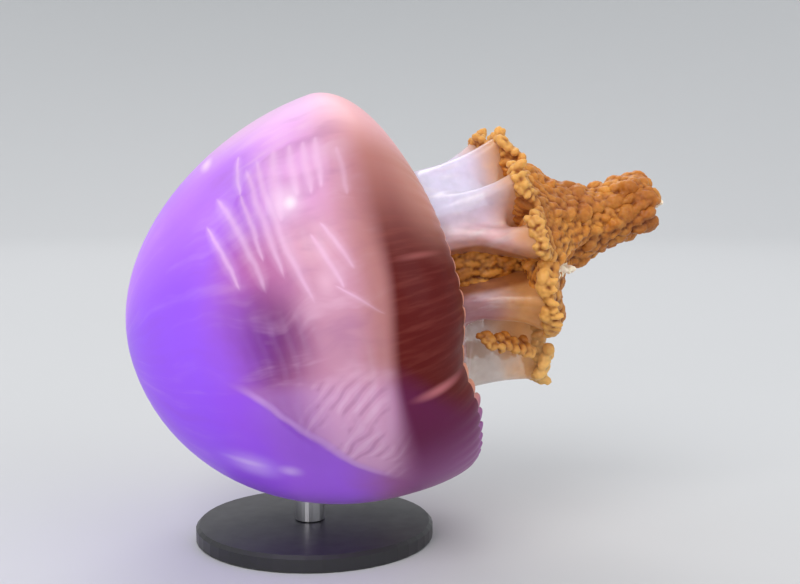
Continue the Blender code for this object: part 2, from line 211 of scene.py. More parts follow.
@dataclass
class BellShape:
    """Sizes of the bell: a thick dome, a margin that thins, and lappets at the rim."""

    radius: float = 61.4 * MM
    depth: float = 70.0 * MM
    cavity_radius: float = 51.5 * MM
    apex_thickness: float = 28.5 * MM
    upper_flatness: float = 3.6 * MM
    lower_fullness: float = 0.9 * MM
    rim_radius_upper: float = 38.0 * MM
    rim_radius_lower: float = 58.8 * MM
    rim_drop_upper: float = 90.5 * MM
    rim_drop_lower: float = 88.0 * MM
    rim_drop_side: float = 3.2 * MM
    fold_depth: float = 3.0 * MM
    fold_bearing: float = math.radians(112.0)
    fold_width: float = math.radians(8.0)
    roll: float = math.radians(65.0)
    rim_thickness: float = 1.7 * MM
    tip_thickness: float = 0.7 * MM
    lappets: int = 64
    group: int = 8
    lappet_root: float = 1.6 * MM
    lappet_length: float = 2.0 * MM
    cleft: float = 0.9 * MM
    furrow: float = 0.22 * MM

    def dome(self, bearing: float, angle: float) -> tuple[float, float]:
        """Finds a place on the dome's outer face.

        Args:
            bearing: Angle round the axis.
            angle: 0 at the apex, a right angle at the widest ring.

        Returns:
            Radius and drop.
        """
        share = 0.5 * (1.0 + math.cos(bearing))
        swell = self.lower_fullness * (1.0 - share) ** 2 - self.upper_flatness * share ** 2
        radius = self.radius * math.sin(angle) + swell * math.sin(2.0 * angle)
        return radius, self.depth * (1.0 - math.cos(angle))

    def margin(self, bearing: float, along: float) -> tuple[float, float]:
        """Finds a place on the outer face of the margin.

        Args:
            bearing: Angle round the axis.
            along: 0 at the dome, 1 at the roots of the lappets.

        Returns:
            Radius and drop.
        """
        share = 0.5 * (1.0 + math.cos(bearing))
        rim_radius = between(self.rim_radius_lower, self.rim_radius_upper, share)
        rim_drop = between(self.rim_drop_lower, self.rim_drop_upper, share)
        flank = math.acos(math.cos(bearing))
        fold = math.exp(-0.5 * ((flank - self.fold_bearing) / self.fold_width) ** 2)
        rim_drop += self.rim_drop_side * math.sin(bearing) ** 2 - self.fold_depth * fold
        angle = self.roll * along
        inward = (1.0 - math.cos(angle)) / (1.0 - math.cos(self.roll))
        down = math.sin(angle) / math.sin(self.roll)
        return between(self.radius, rim_radius, inward), between(self.depth, rim_drop, down)

    def heading(self, bearing: float, along: float) -> tuple[float, float]:
        """Returns the unit direction (radius, drop) in which the margin runs."""
        step = 0.001
        before, after = self.margin(bearing, along - step), self.margin(bearing, along + step)
        run = (after[0] - before[0], after[1] - before[1])
        length = math.hypot(*run)
        return run[0] / length, run[1] / length

    def swell(self, bearing: float) -> float:
        """Returns 1 in the middle of a lappet and 0 between two."""
        part = (bearing / (2.0 * math.pi) * self.lappets) % 1.0
        return math.sin(math.pi * part) ** 0.55

    def scallop(self, bearing: float) -> float:
        """Returns how far the rim reaches past the lappet roots at a bearing."""
        place = (bearing / (2.0 * math.pi) * self.lappets) % self.lappets
        own = 1.0 + 0.22 * noise.noise(Vector((int(place) * 1.7, 3.1, 0.0)))
        nearest = abs(place - self.group * round(place / self.group))
        depth = self.cleft * max(0.0, 1.0 - 2.0 * nearest) ** 2
        return self.lappet_root + self.lappet_length * self.swell(bearing) * own - depth


@dataclass
class BellSkin:
    """The skin of the bell: outer face, lappets and the ridged wall of the hollow."""

    shape: BellShape = field(default_factory=BellShape)
    segments: int = 320
    dome_rows: int = 26
    margin_rows: int = 20
    lappet_rows: int = 5
    wall_rows: int = 86
    margin_part: float = 0.30
    ridge: float = 0.55 * MM
    ridge_pitch: float = 3.7 * MM

    def rows(self) -> int:
        """Returns the number of rows from the apex over the rim to the roof."""
        return self.dome_rows + self.margin_rows + 2 * self.lappet_rows + self.wall_rows

    def rim_row(self) -> int:
        """Returns the row at the tips of the lappets."""
        return self.dome_rows + self.margin_rows + self.lappet_rows

    def outer(self, bearing: float, row: int) -> tuple[float, float]:
        """Finds a place on the outer face or the outer side of a lappet.

        Args:
            bearing: Angle round the axis.
            row: Row number from the apex.

        Returns:
            Radius and drop.
        """
        shape = self.shape
        if row <= self.dome_rows:
            return shape.dome(bearing, 0.5 * math.pi * row / self.dome_rows)
        row -= self.dome_rows
        if row > self.margin_rows:
            return self.lappet(bearing, (row - self.margin_rows) / self.lappet_rows, 0.0)
        along = row / self.margin_rows
        radius, drop = shape.margin(bearing, along)
        run, fall = shape.heading(bearing, along)
        sunk = shape.furrow * (1.0 - shape.swell(bearing)) * ease((along - 0.3) / 0.7)
        return radius - fall * sunk, drop + run * sunk

    def lappet(self, bearing: float, share: float, depth: float) -> tuple[float, float]:
        """Finds a place on a lappet.

        Args:
            bearing: Angle round the axis.
            share: 0 at the root, 1 at the tip.
            depth: 0 on the outer side, 1 on the inner side.

        Returns:
            Radius and drop.
        """
        shape = self.shape
        radius, drop = shape.margin(bearing, 1.0)
        run, fall = shape.heading(bearing, 1.0)
        forward = shape.scallop(bearing) * math.sin(0.5 * math.pi * share)
        thick = between(shape.rim_thickness, shape.tip_thickness, share)
        rounding = math.sqrt(max(0.0, 1.0 - share ** 4))
        inward = 0.5 * shape.rim_thickness + (depth - 0.5) * thick * rounding
        if depth == 0.0:
            inward += shape.furrow * (1.0 - shape.swell(bearing)) * (1.0 - share)
        return radius + run * forward - fall * inward, drop + fall * forward + run * inward

    def wall(self, bearing: float, share: float) -> tuple[float, float]:
        """Finds a place on the wall of the hollow.

        Args:
            bearing: Angle round the axis.
            share: 0 at the rim, 1 at the middle of the roof.

        Returns:
            Radius and drop.
        """
        shape = self.shape
        if share < self.margin_part:
            along = 1.0 - share / self.margin_part
            radius, drop = shape.margin(bearing, along)
            run, fall = shape.heading(bearing, along)
            thick = between(shape.radius - shape.cavity_radius, shape.rim_thickness, along)
            return radius - fall * thick, drop + run * thick
        angle = 0.5 * math.pi * (1.0 - share) / (1.0 - self.margin_part)
        height = shape.depth - shape.apex_thickness
        return shape.cavity_radius * math.sin(angle), shape.depth - height * math.cos(angle)

    def ridging(self, bearing: float, drop: float, share: float) -> float:
        """Returns how far the ring muscle stands up at a place on the wall, from 0 to 1."""
        near = Vector((2.2 * math.cos(bearing), 2.2 * math.sin(bearing), drop * 30.0))
        wander = noise.noise(near)
        wave = math.sin(2.0 * math.pi * drop / self.ridge_pitch + 6.0 * wander)
        fade = ease(share / 0.12) * ease((0.94 - share) / 0.2)
        return fade * hold(0.5 + 0.5 * wave) * hold(0.75 + 1.2 * noise.noise(near * 1.7))

    def place(self, bearing: float, row: int) -> tuple[Vector, float]:
        """Finds the point of the skin at a bearing and row.

        Args:
            bearing: Angle round the axis.
            row: Row number from the apex.

        Returns:
            The point, and the height of the muscle ridge there from 0 to 1.
        """
        rim = self.rim_row()
        if row <= rim:
            return around(bearing, *self.outer(bearing, row)), 0.0
        if row < rim + self.lappet_rows:
            share = 1.0 - (row - rim) / self.lappet_rows
            return around(bearing, *self.lappet(bearing, share, 1.0)), 0.0
        share = (row - rim - self.lappet_rows) / self.wall_rows
        radius, drop = self.wall(bearing, share)
        ridge = self.ridging(bearing, drop, share)
        spot = around(bearing, max(0.0, radius - self.ridge * ridge), drop + 0.5 * self.ridge * ridge)
        return spot, ridge

    def build(self) -> bmesh.types.BMesh:
        """Builds the bell upright from a ball pressed into a cup.

        Returns:
            The closed skin, with its finish on each face and its ridges as an attribute.
        """
        bm = bmesh.new()
        rows = self.rows()
        bmesh.ops.create_uvsphere(bm, u_segments=self.segments, v_segments=rows, radius=1.0)
        first_rim, last_rim = self.rim_row() - self.lappet_rows + 1, self.rim_row() + self.lappet_rows - 1
        for face in bm.faces:
            row = int(math.acos(face.calc_center_median().normalized().z) / math.pi * rows)
            face.material_index = SkinPart.INSIDE.value
            if row < first_rim:
                face.material_index = SkinPart.OUTSIDE.value
            elif row < last_rim:
                face.material_index = SkinPart.RIM.value
        ridges = bm.verts.layers.float.new("ridge")
        for vert in bm.verts:
            row = round(math.acos(min(1.0, max(-1.0, vert.co.z))) / math.pi * rows)
            vert.co, vert[ridges] = self.place(bearing_of(vert.co), row)
        bmesh.ops.recalc_face_normals(bm, faces=bm.faces)
        return bm


# --------------------------------------------------------------------------- arms


@dataclass(frozen=True)
class Arm:
    """One mouth arm: bearings in degrees, lengths in millimetres.

    The half widths of the keel are given on the side of lower and of higher bearings, at mid
    length and at the shoulder, and so is how crisply its flanks fall off; opening is the drop
    where the web to the next arm ends.
    """

    root: float
    shoulder: float
    drop: float
    radius: float
    gather: float
    tip: float
    root_radius: float = 26.0
    middle: tuple[float, float] = (3.6, 3.6)
    end: tuple[float, float] = (6.0, 6.0)
    opening: float = 104.0
    arch: float = 3.0
    frill: float = 9.0
    petal: float = 1.3
    crisp: tuple[float, float] = (3.4, 3.4)


@dataclass
class ArmPlan:
    """The eight arms and the spaces between them."""

    arms: tuple[Arm, ...] = (
        Arm(12.0, 10.0, 121.0, 37.0, 144.0, 166.5, 32.5, (5.0, 5.0), (5.0, 5.0), 117.0),
        Arm(40.0, 47.0, 119.5, 36.5, 144.0, 165.0, 29.0, (4.0, 4.0), (5.0, 5.0), 114.0),
        Arm(58.0, 78.0, 119.0, 36.5, 141.0, 167.0, 26.0, (3.2, 2.7), (8.0, 8.0), 93.0, 12.0,
            crisp=(3.4, 8.0), petal=1.4),
        Arm(112.0, 114.0, 118.5, 35.5, 132.0, 164.0, 26.0, (4.2, 11.5), (5.0, 20.0), 96.0, 4.0,
            frill=17.0, petal=2.3, crisp=(8.0, 4.0)),
        Arm(165.0, 172.0, 116.0, 39.0, 129.0, 158.0, 36.0, (11.0, 9.0), (12.0, 10.0),
            frill=14.0, petal=1.9),
        Arm(220.0, 222.0, 117.0, 35.5, 131.0, 162.0, 29.0, (10.0, 3.6), (12.0, 6.0), 97.0, 6.0,
            frill=14.0, petal=2.3),
        Arm(272.0, 272.0, 120.5, 36.5, 141.0, 165.5, 26.0, (3.6, 3.6), (6.0, 6.0), 106.0, 4.0),
        Arm(334.0, 341.0, 118.0, 39.0, 144.0, 167.0, 33.0, (4.5, 5.0), (5.0, 5.0), 115.0),
    )
    root_drop: float = 94.3 * MM
    hollow_root: float = 13.0 * MM
    hollow_end: float = 11.5 * MM
    lean_length: float = 5.4 * MM
    lean_start: float = 121.0 * MM
    lean_end: float = 162.0 * MM
    club_start: float = 138.0 * MM
    club_radius: float = 9.6 * MM
    club_inner: float = 1.6 * MM

    def bearing(self, number: int, drop: float) -> float:
        """Returns the bearing of an arm's keel at a drop."""
        arm = self.arms[number % len(self.arms)]
        share = ease((drop - self.root_drop) / (arm.drop * MM - self.root_drop))
        return math.radians(between(arm.root, arm.shoulder, share))

    def half_gap(self, number: int, side: int, drop: float) -> float:
        """Returns half the angle from an arm to the next one on one side at a drop."""
        gap = (self.bearing(number + side, drop) - self.bearing(number, drop)) * side
        return 0.5 * (gap % (2.0 * math.pi))

    def lean(self, drop: float) -> Vector:
        """Returns how far the club has leaned to the uppermost side at a drop."""
        share = ease((drop - self.lean_start) / (self.lean_end - self.lean_start))
        return Vector((self.lean_length * share, 0.0, 0.0))

    def hollow(self, drop: float) -> float:
        """Returns the radius of the space between the arms at a drop."""
        if drop < self.lean_start:
            along = (drop - self.root_drop) / (self.lean_start - self.root_drop)
            return between(self.hollow_root, self.hollow_end, along)
        share = ease((drop - self.lean_start) / (self.club_start - self.lean_start))
        return between(self.hollow_end, self.club_inner, share)


@dataclass
class MiddleBody:
    """The stomach pillars, the arm disc and the clear upper arms, grown into one body."""

    plan: ArmPlan = field(default_factory=ArmPlan)
    disc_radius: float = 27.0 * MM
    disc_top: float = 80.0 * MM
    end_drop: float = 126.0 * MM
    web_radius: float = 23.0 * MM
    inner_radius: float = 11.0 * MM
    keel_root: float = 4.6
    pillar_centre: float = 18.0 * MM
    pillar_radial: float = 5.0 * MM
    pillar_tangential: float = 8.0 * MM
    pillars: int = 4
    pillar_top: float = 30.0 * MM
    pillar_sink: float = 4.0 * MM
    disc_height: float = 7.0 * MM
    disc_part: float = 0.16
    voxel: float = 0.86 * MM
    softening: int = 4
    around_points: int = 300
    along_points: int = 130

    def pillar(self, number: int) -> bmesh.types.BMesh:
        """Returns one pillar, flared at the roof and at the disc."""
        bearing = 2.0 * math.pi * (number + 0.5) / self.pillars
        top, bottom = self.pillar_top, self.disc_top + self.pillar_sink
        bm = tube(28, 30)
        for vert in bm.verts:
            angle, along = math.atan2(vert.co.y, vert.co.x), vert.co.z + 0.5
            drop = between(top, bottom, along)
            flare = 1.0 + 0.7 * (2.0 * along - 1.0) ** 4
            radial = self.pillar_centre + self.pillar_radial * flare * math.cos(angle)
            sideways = self.pillar_tangential * flare * math.sin(angle)
            vert.co = around(bearing, radial, drop) + around(bearing + 0.5 * math.pi, sideways, 0.0)
        return bm

    def web(self, bearing: float, drop: float) -> float:
        """Returns the radius of the clear web between two arms, which ends in an arch."""
        plan = self.plan
        for number, arm in enumerate(plan.arms):
            here = plan.bearing(number, drop)
            gap = 2.0 * plan.half_gap(number, 1, drop)
            past = (bearing - here) % (2.0 * math.pi)
            if past <= gap:
                after = plan.arms[(number + 1) % len(plan.arms)]
                across = past / gap
                shoulder = between(arm.drop, after.drop, across) * MM
                edge = between(arm.opening * MM, shoulder, abs(2.0 * across - 1.0) ** arm.arch)
                along = (drop - plan.root_drop) / max(2.0 * MM, edge - plan.root_drop)
                root = between(arm.root_radius, after.root_radius, ease(across)) * MM
                radius = between(root, self.web_radius, hold(along) ** 0.8)
                return between(radius, self.inner_radius, ease((drop - edge) / (3.0 * MM)))
        return self.inner_radius

    def reach(self, number: int, drop: float) -> float:
        """Returns the radius of an arm's keel at a drop."""
        plan, arm = self.plan, self.plan.arms[number]
        along = hold((drop - plan.root_drop) / (arm.drop * MM - plan.root_drop))
        out = between(arm.root_radius, arm.radius, along ** 2.4) * MM
        return between(out, self.inner_radius, ease((drop - arm.drop * MM - 0.5 * MM) / (4.0 * MM)))

    def radius(self, bearing: float, drop: float) -> float:
        """Returns the radius of the body at a bearing and drop."""
        plan = self.plan
        web = self.web(bearing, drop)
        best = web
        for number, arm in enumerate(plan.arms):
            off = turn_between(plan.bearing(number, drop), bearing)
            if abs(off) > 1.2:
                continue
            out = self.reach(number, drop)
            side = 1 if off > 0.0 else 0
            along = hold((drop - plan.root_drop) / (arm.drop * MM - plan.root_drop))
            half = between(self.keel_root, arm.middle[side], ease(along * 2.0))
            half = between(half, arm.end[side], along ** 5) * MM
            part = abs(off) * out / half
            best = max(best, web + max(0.0, out - web) / (1.0 + part ** arm.crisp[side]))
        return best

    def arms(self) -> bmesh.types.BMesh:
        """Returns the disc and the clear upper arms as one body, upright."""
        bm = bmesh.new()
        bmesh.ops.create_uvsphere(bm, u_segments=self.around_points,
                                  v_segments=self.along_points, radius=1.0)
        top_part, root = self.disc_part, self.plan.root_drop
        for vert in bm.verts:
            share = math.acos(min(1.0, max(-1.0, vert.co.z))) / math.pi
            bearing = bearing_of(vert.co)
            if share < top_part:
                turn = 0.5 * math.pi * share / top_part
                drop = self.disc_top + self.disc_height * (1.0 - math.cos(turn) ** 0.7)
                vert.co = around(bearing, self.disc_radius * math.sin(turn) ** 0.8, drop)
                continue
            along = (share - top_part) / (1.0 - top_part)
            drop = between(self.disc_top + self.disc_height, self.end_drop, along)
            radius = self.radius(bearing, max(drop, root))
            radius = between(self.disc_radius, radius, ease((drop - root + 7.0 * MM) / (8.0 * MM)))
            radius *= math.sqrt(hold((1.0 - along) * 14.0))
            vert.co = around(bearing, radius, drop) + self.plan.lean(drop)
        return bm

    def build(self) -> bmesh.types.BMesh:
        """Builds the middle body upright and grows its parts together.

        Returns:
            The body.
        """
        bm = self.arms()
        bmesh.ops.recalc_face_normals(bm, faces=bm.faces)
        for number in range(self.pillars):
            part = self.pillar(number)
            bmesh.ops.recalc_face_normals(part, faces=part.faces)
            add_part(bm, part)
        return grown_together(bm, self.voxel, self.softening)


# --------------------------------------------------------------------------- frills


@dataclass(frozen=True)
class Lobe:
    """One rounded fold of a frill: its place, the way it faces, its size, its own shade and how
    far it may lie aslant the arm."""

    place: Vector
    facing: Vector
    size: tuple[float, float, float]
    shade: float
    slant: float = math.pi


@dataclass
class MouthFrills:
    """The crinkled mouth folds of the lower arms: smooth bodies covered in grown-on lobes."""

    plan: ArmPlan = field(default_factory=ArmPlan)
    overhang: float = 0.2 * MM
    shoulder_length: float = 2.2 * MM
    width_full: float = 16.0
    width_club: float = 8.6
    draw_in: float = 0.55
    lobe_shoulder: float = 1.5 * MM
    lobe_club: float = 2.5 * MM
    spread: float = 1.12
    bead: float = 1.1 * MM
    bead_lift: float = 0.28 * MM
    voxel: float = 0.38 * MM
    levelling: int = 26
    relief: float = 0.9 * MM
    edgings: tuple[tuple[int, float, float, float, float], ...] = (
        (3, 128.0, 99.0, 150.0, 114.0), (5, 208.0, 99.0, 192.0, 114.0))
    edging_radius: float = 31.0 * MM
    edging_count: int = 44
    core_end: float = 132.0 * MM
    lobes_grow_from: float = 119.0 * MM
    lobes_grow_over: float = 24.0 * MM
    first_seed: int = 40
    mouth_seed: int = 60
    tuft_lobes: int = 5
    tufts: tuple[tuple[int, float, float, float], ...] = (
        (1, 95.0, 4.2, 165.2), (3, 117.0, 17.0, 131.0), (3, 108.0, 20.0, 128.0))

    def width(self, arm: Arm, fall: float) -> float:
        """Returns the width of a frilled arm, full a little below its shoulder."""
        full = between(arm.frill, self.width_full, ease(fall / 0.4))
        return between(full, self.width_club, ease((fall - 0.4) / 0.5)) * MM

    def profile(self, number: int, along: float) -> tuple[float, float, float, float]:
        """Finds the size of a frilled arm at a place.

        Args:
            number: Which arm.
            along: 0 at the shoulder, 1 at the tip.

        Returns:
            Drop, inner radius, outer radius and width.
        """
        plan, arm = self.plan, self.plan.arms[number]
        start, out, tip = (arm.drop - 1.0) * MM, arm.radius * MM + self.overhang, (arm.tip - 1.5) * MM
        drop = between(start, tip, along)
        past = max(0.0, drop - start - self.shoulder_length)
        fall = hold(past / (arm.gather * MM - start)) ** self.draw_in
        outer = between(out, plan.club_radius - self.lobe_club * 0.45, fall)
        outer *= 0.55 + 0.45 * math.sqrt(max(0.0, 1.0 - along ** 18))
        inner = plan.hollow(drop)
        return drop, inner, max(outer, inner + 1.5 * MM), self.width(arm, fall)

    def body(self, number: int) -> bmesh.types.BMesh:
        """Returns the smooth body of one frilled arm, upright."""
        plan = self.plan
        bm = bmesh.new()
        bmesh.ops.create_uvsphere(bm, u_segments=56, v_segments=60, radius=1.0)
        for vert in bm.verts:
            polar = math.acos(min(1.0, max(-1.0, vert.co.z)))
            angle = math.atan2(vert.co.y, vert.co.x)
            share = polar / math.pi
            drop, inner, outer, width = self.profile(number, 0.4 * ease(share) + 0.6 * share)
            cap = min(1.0, math.sin(polar) * 6.0) ** 0.5
            side = 1 if angle > 0.0 else -1
            reach = 0.5 * (1.0 + math.copysign(abs(math.cos(angle)) ** 0.5, math.cos(angle)))
            radius = between(0.5 * (inner + outer), between(inner, outer, reach), cap)
            limit = radius * math.tan(plan.half_gap(number, side, drop)) * 1.05
            half = min(0.5 * width, limit) * min(1.0, abs(math.sin(angle)) * 1.4) * cap
            bearing = plan.bearing(number, drop)
            spot = around(bearing, radius, drop) + plan.lean(drop)
            vert.co = spot + around(bearing + 0.5 * math.pi, side * half, 0.0)
        return bm

    def core(self) -> bmesh.types.BMesh:
        """Returns the smooth body of the folds in the middle, between the arms."""
        plan = self.plan
        bm = bmesh.new()
        bmesh.ops.create_uvsphere(bm, u_segments=72, v_segments=44, radius=1.0)
        top, bottom = plan.root_drop + 1.0 * MM, self.core_end
        for vert in bm.verts:
            polar = math.acos(min(1.0, max(-1.0, vert.co.z)))
            drop = between(top, bottom, polar / math.pi)
            cap = min(1.0, math.sin(polar) * 4.0) ** 0.5
            radius = (plan.hollow(drop) + 3.0 * MM) * cap
            vert.co = around(bearing_of(vert.co), radius, drop) + plan.lean(drop)
        return bm

    def lobe_size(self, drop: float) -> float:
        """Returns the radius of a lobe at a drop; lobes are small at the shoulder."""
        share = ease((drop - self.lobes_grow_from) / self.lobes_grow_over)
        return between(self.lobe_shoulder, self.lobe_club, share)

    def scatter(self, bm: bmesh.types.BMesh, chance: random.Random) -> list[Lobe]:
        """Spreads lobes evenly over a smooth body.

        Args:
            bm: The body.
            chance: Source of the unevenness.

        Returns:
            The lobes.
        """
        bmesh.ops.recalc_face_normals(bm, faces=bm.faces)
        bm.normal_update()
        faces = [face for face in bm.faces if face.calc_area() > 0.0]
        # The sphere's faces come in no fixed order, so they are sorted before the random draws.
        faces.sort(key=lambda face: tuple(round(part, 6) for part in face.calc_center_median()))
        chance.shuffle(faces)
        cells: dict[tuple[int, int, int], list[Vector]] = {}
        cell = 2.0 * self.lobe_club * self.spread
        steps = [(x, y, z) for x in (-1, 0, 1) for y in (-1, 0, 1) for z in (-1, 0, 1)]
        lobes = []
        for face in faces:
            spot = face.calc_center_median()
            size = self.lobe_size(-spot.z) * chance.uniform(0.55, 1.3)
            home = [int(part // cell) for part in spot]
            apart = size * self.spread
            if any((spot - other).length < apart for step in steps for other in
                   cells.get((home[0] + step[0], home[1] + step[1], home[2] + step[2]), ())):
                continue
            cells.setdefault((home[0], home[1], home[2]), []).append(spot)
            stretch = between(2.3, 1.3, ease((-spot.z - 128.0 * MM) / (14.0 * MM)))
            shape = (size * chance.uniform(0.8, 1.0) * stretch, size * chance.uniform(0.7, 0.95),
                     size * chance.uniform(0.75, 1.15))
            lobes.append(Lobe(spot, face.normal.copy(), shape, chance.random(), 0.6))
        return lobes

    def petals(self, number: int, chance: random.Random) -> list[Lobe]:
        """Returns the larger flat folds that fringe an arm's shoulder."""
        plan, arm = self.plan, self.plan.arms[number]
        lobes = []
        for row, push in enumerate((-0.4, 1.0, 2.4, 3.9)):
            width = (arm.frill + 1.0 + row * 1.5) * MM
            count = max(3, round(width / (arm.petal * 1.15 * MM)))
            for index in range(count):
                off = (index / (count - 1) - 0.5) * width + chance.uniform(-0.5, 0.5) * MM
                drop = (arm.drop + push + chance.uniform(-0.5, 0.5)) * MM
                bearing = plan.bearing(number, drop)
                radius = (arm.radius - 0.6 * arm.petal - 1.7 * row + chance.uniform(-0.6, 0.5)) * MM
                radius -= 0.022 * (off / MM) ** 2 * MM
                spot = around(bearing, radius, drop) + around(bearing + 0.5 * math.pi, off, 0.0)
                facing = around(bearing, 1.0, 0.55 + 0.3 * row)
                facing += around(bearing + 0.5 * math.pi, off / (9.0 * MM), 0.0)
                size = arm.petal * chance.uniform(0.85, 1.2) * MM
                lobes.append(Lobe(spot, facing.normalized(), (size * 1.2, size * 0.8, size * 0.9),
                                  0.5 + 0.5 * chance.random()))
        return lobes

    def edging(self, number: int, chance: random.Random) -> list[Lobe]:
        """Returns the folds that hang along the lower edge of a winged arm."""
        lobes = []
        for owner, first_bearing, first_drop, last_bearing, last_drop in self.edgings:
            if owner != number:
                continue
            for index in range(self.edging_count):
                along = (index + chance.uniform(-0.4, 0.4)) / (self.edging_count - 1)
                bearing = math.radians(between(first_bearing, last_bearing, along))
                drop = (between(first_drop, last_drop, along) + chance.uniform(-0.8, 1.4)) * MM
                radius = self.edging_radius + chance.uniform(-3.0, 2.0) * MM
                size = chance.uniform(1.0, 1.9) * MM
                lobes.append(Lobe(around(bearing, radius, drop), around(bearing, 1.0, 0.3).normalized(),
                                  (size, size * 0.8, size), 0.3 + 0.7 * chance.random()))
        return lobes

    def pale_tufts(self, number: int, chance: random.Random) -> list[Lobe]:
        """Returns the small pale tufts that stand on an arm."""
        lobes = []
        for owner, bearing, radius, drop in self.tufts:
            if owner != number:
                continue
            facing = around(math.radians(bearing), 1.0, 0.6).normalized()
            middle = around(math.radians(bearing), radius * MM, drop * MM) + self.plan.lean(drop * MM)
            for _ in range(self.tuft_lobes):
                aside = Vector([chance.uniform(-1.3, 1.3) * MM for _ in range(3)])
                size = chance.uniform(0.7, 1.1) * MM
                lobes.append(Lobe(middle + aside, facing, (size, size * 0.8, size * 1.3), 2.0))
        return lobes

    def grow(self, bm: bmesh.types.BMesh, lobes: list[Lobe], chance: random.Random) -> bmesh.types.BMesh:
        """Grows lobes onto a body, then beads them finely.

        Args:
            bm: The smooth body, which is freed.
            lobes: The lobes.
            chance: Source of the turn of each lobe.

        Returns:
            The skin, with how high each point stands and its lobe's shade as attributes.
        """
        ball = bmesh.new()
        bmesh.ops.create_uvsphere(ball, u_segments=12, v_segments=8, radius=1.0)
        pattern = bpy.data.meshes.new("lobe")
        ball.to_mesh(pattern)
        ball.free()
        tree = kdtree.KDTree(len(lobes))
        for index, lobe in enumerate(lobes):
            lead = Vector((0.0, 0.0, -1.0)) + lobe.facing * lobe.facing.z
            lead = lead.normalized() if lead.length > 0.2 else lobe.facing.orthogonal().normalized()
            lead.rotate(Matrix.Rotation(chance.uniform(-lobe.slant, lobe.slant), 3, lobe.facing))
            turn = Matrix((lead, lobe.facing.cross(lead), lobe.facing)).transposed().to_4x4()
            part = pattern.copy()
            part.transform(Matrix.Translation(lobe.place) @ turn @ Matrix.Diagonal((*lobe.size, 1.0)))
            bm.from_mesh(part)
            bpy.data.meshes.remove(part)
            tree.insert(lobe.place + lobe.facing * 0.6 * lobe.size[2], index)
        bpy.data.meshes.remove(pattern)
        tree.balance()
        skin = grown_together(bm, self.voxel, 2)
        crest = skin.verts.layers.float.new("crest")
        shade = skin.verts.layers.float.new("shade")
        skin.normal_update()
        before = [(vert.co.copy(), vert.normal.copy()) for vert in skin.verts]
        for _ in range(self.levelling):
            bmesh.ops.smooth_vert(skin, verts=skin.verts, factor=0.5, use_axis_x=True,
                                  use_axis_y=True, use_axis_z=True)
        for vert, (spot, normal) in zip(skin.verts, before):
            near = noise.voronoi(spot / self.bead)[0][0]
            bead = max(0.0, 1.0 - 1.5 * near * near)
            vert[crest] = hold(0.45 + (spot - vert.co).dot(normal) / self.relief + 0.18 * (bead - 0.5))
            vert[shade] = lobes[tree.find(spot)[1]].shade
            vert.co = spot + normal * self.bead_lift * (bead - 0.5)
        return skin

    def arm(self, number: int) -> bmesh.types.BMesh:
        """Returns the frilled lower length of one arm, upright."""
        chance = random.Random(self.first_seed + number)
        bm = self.body(number)
        lobes = self.scatter(bm, chance) + self.petals(number, chance) + self.edging(number, chance)
        return self.grow(bm, lobes + self.pale_tufts(number, chance), chance)

    def mouth(self) -> bmesh.types.BMesh:
        """Returns the folds in the middle, upright."""
        chance = random.Random(self.mouth_seed)
        bm = self.core()
        return self.grow(bm, self.scatter(bm, chance), chance)


# --------------------------------------------------------------------------- shading


def srgb(red: int, green: int, blue: int) -> Colour:
    """Turns a display colour into the linear colour a shader takes."""
    shares = (part / 255.0 for part in (red, green, blue))
    parts = [s / 12.92 if s <= 0.04045 else ((s + 0.055) / 1.055) ** 2.4 for s in shares]
    return (parts[0], parts[1], parts[2], 1.0)


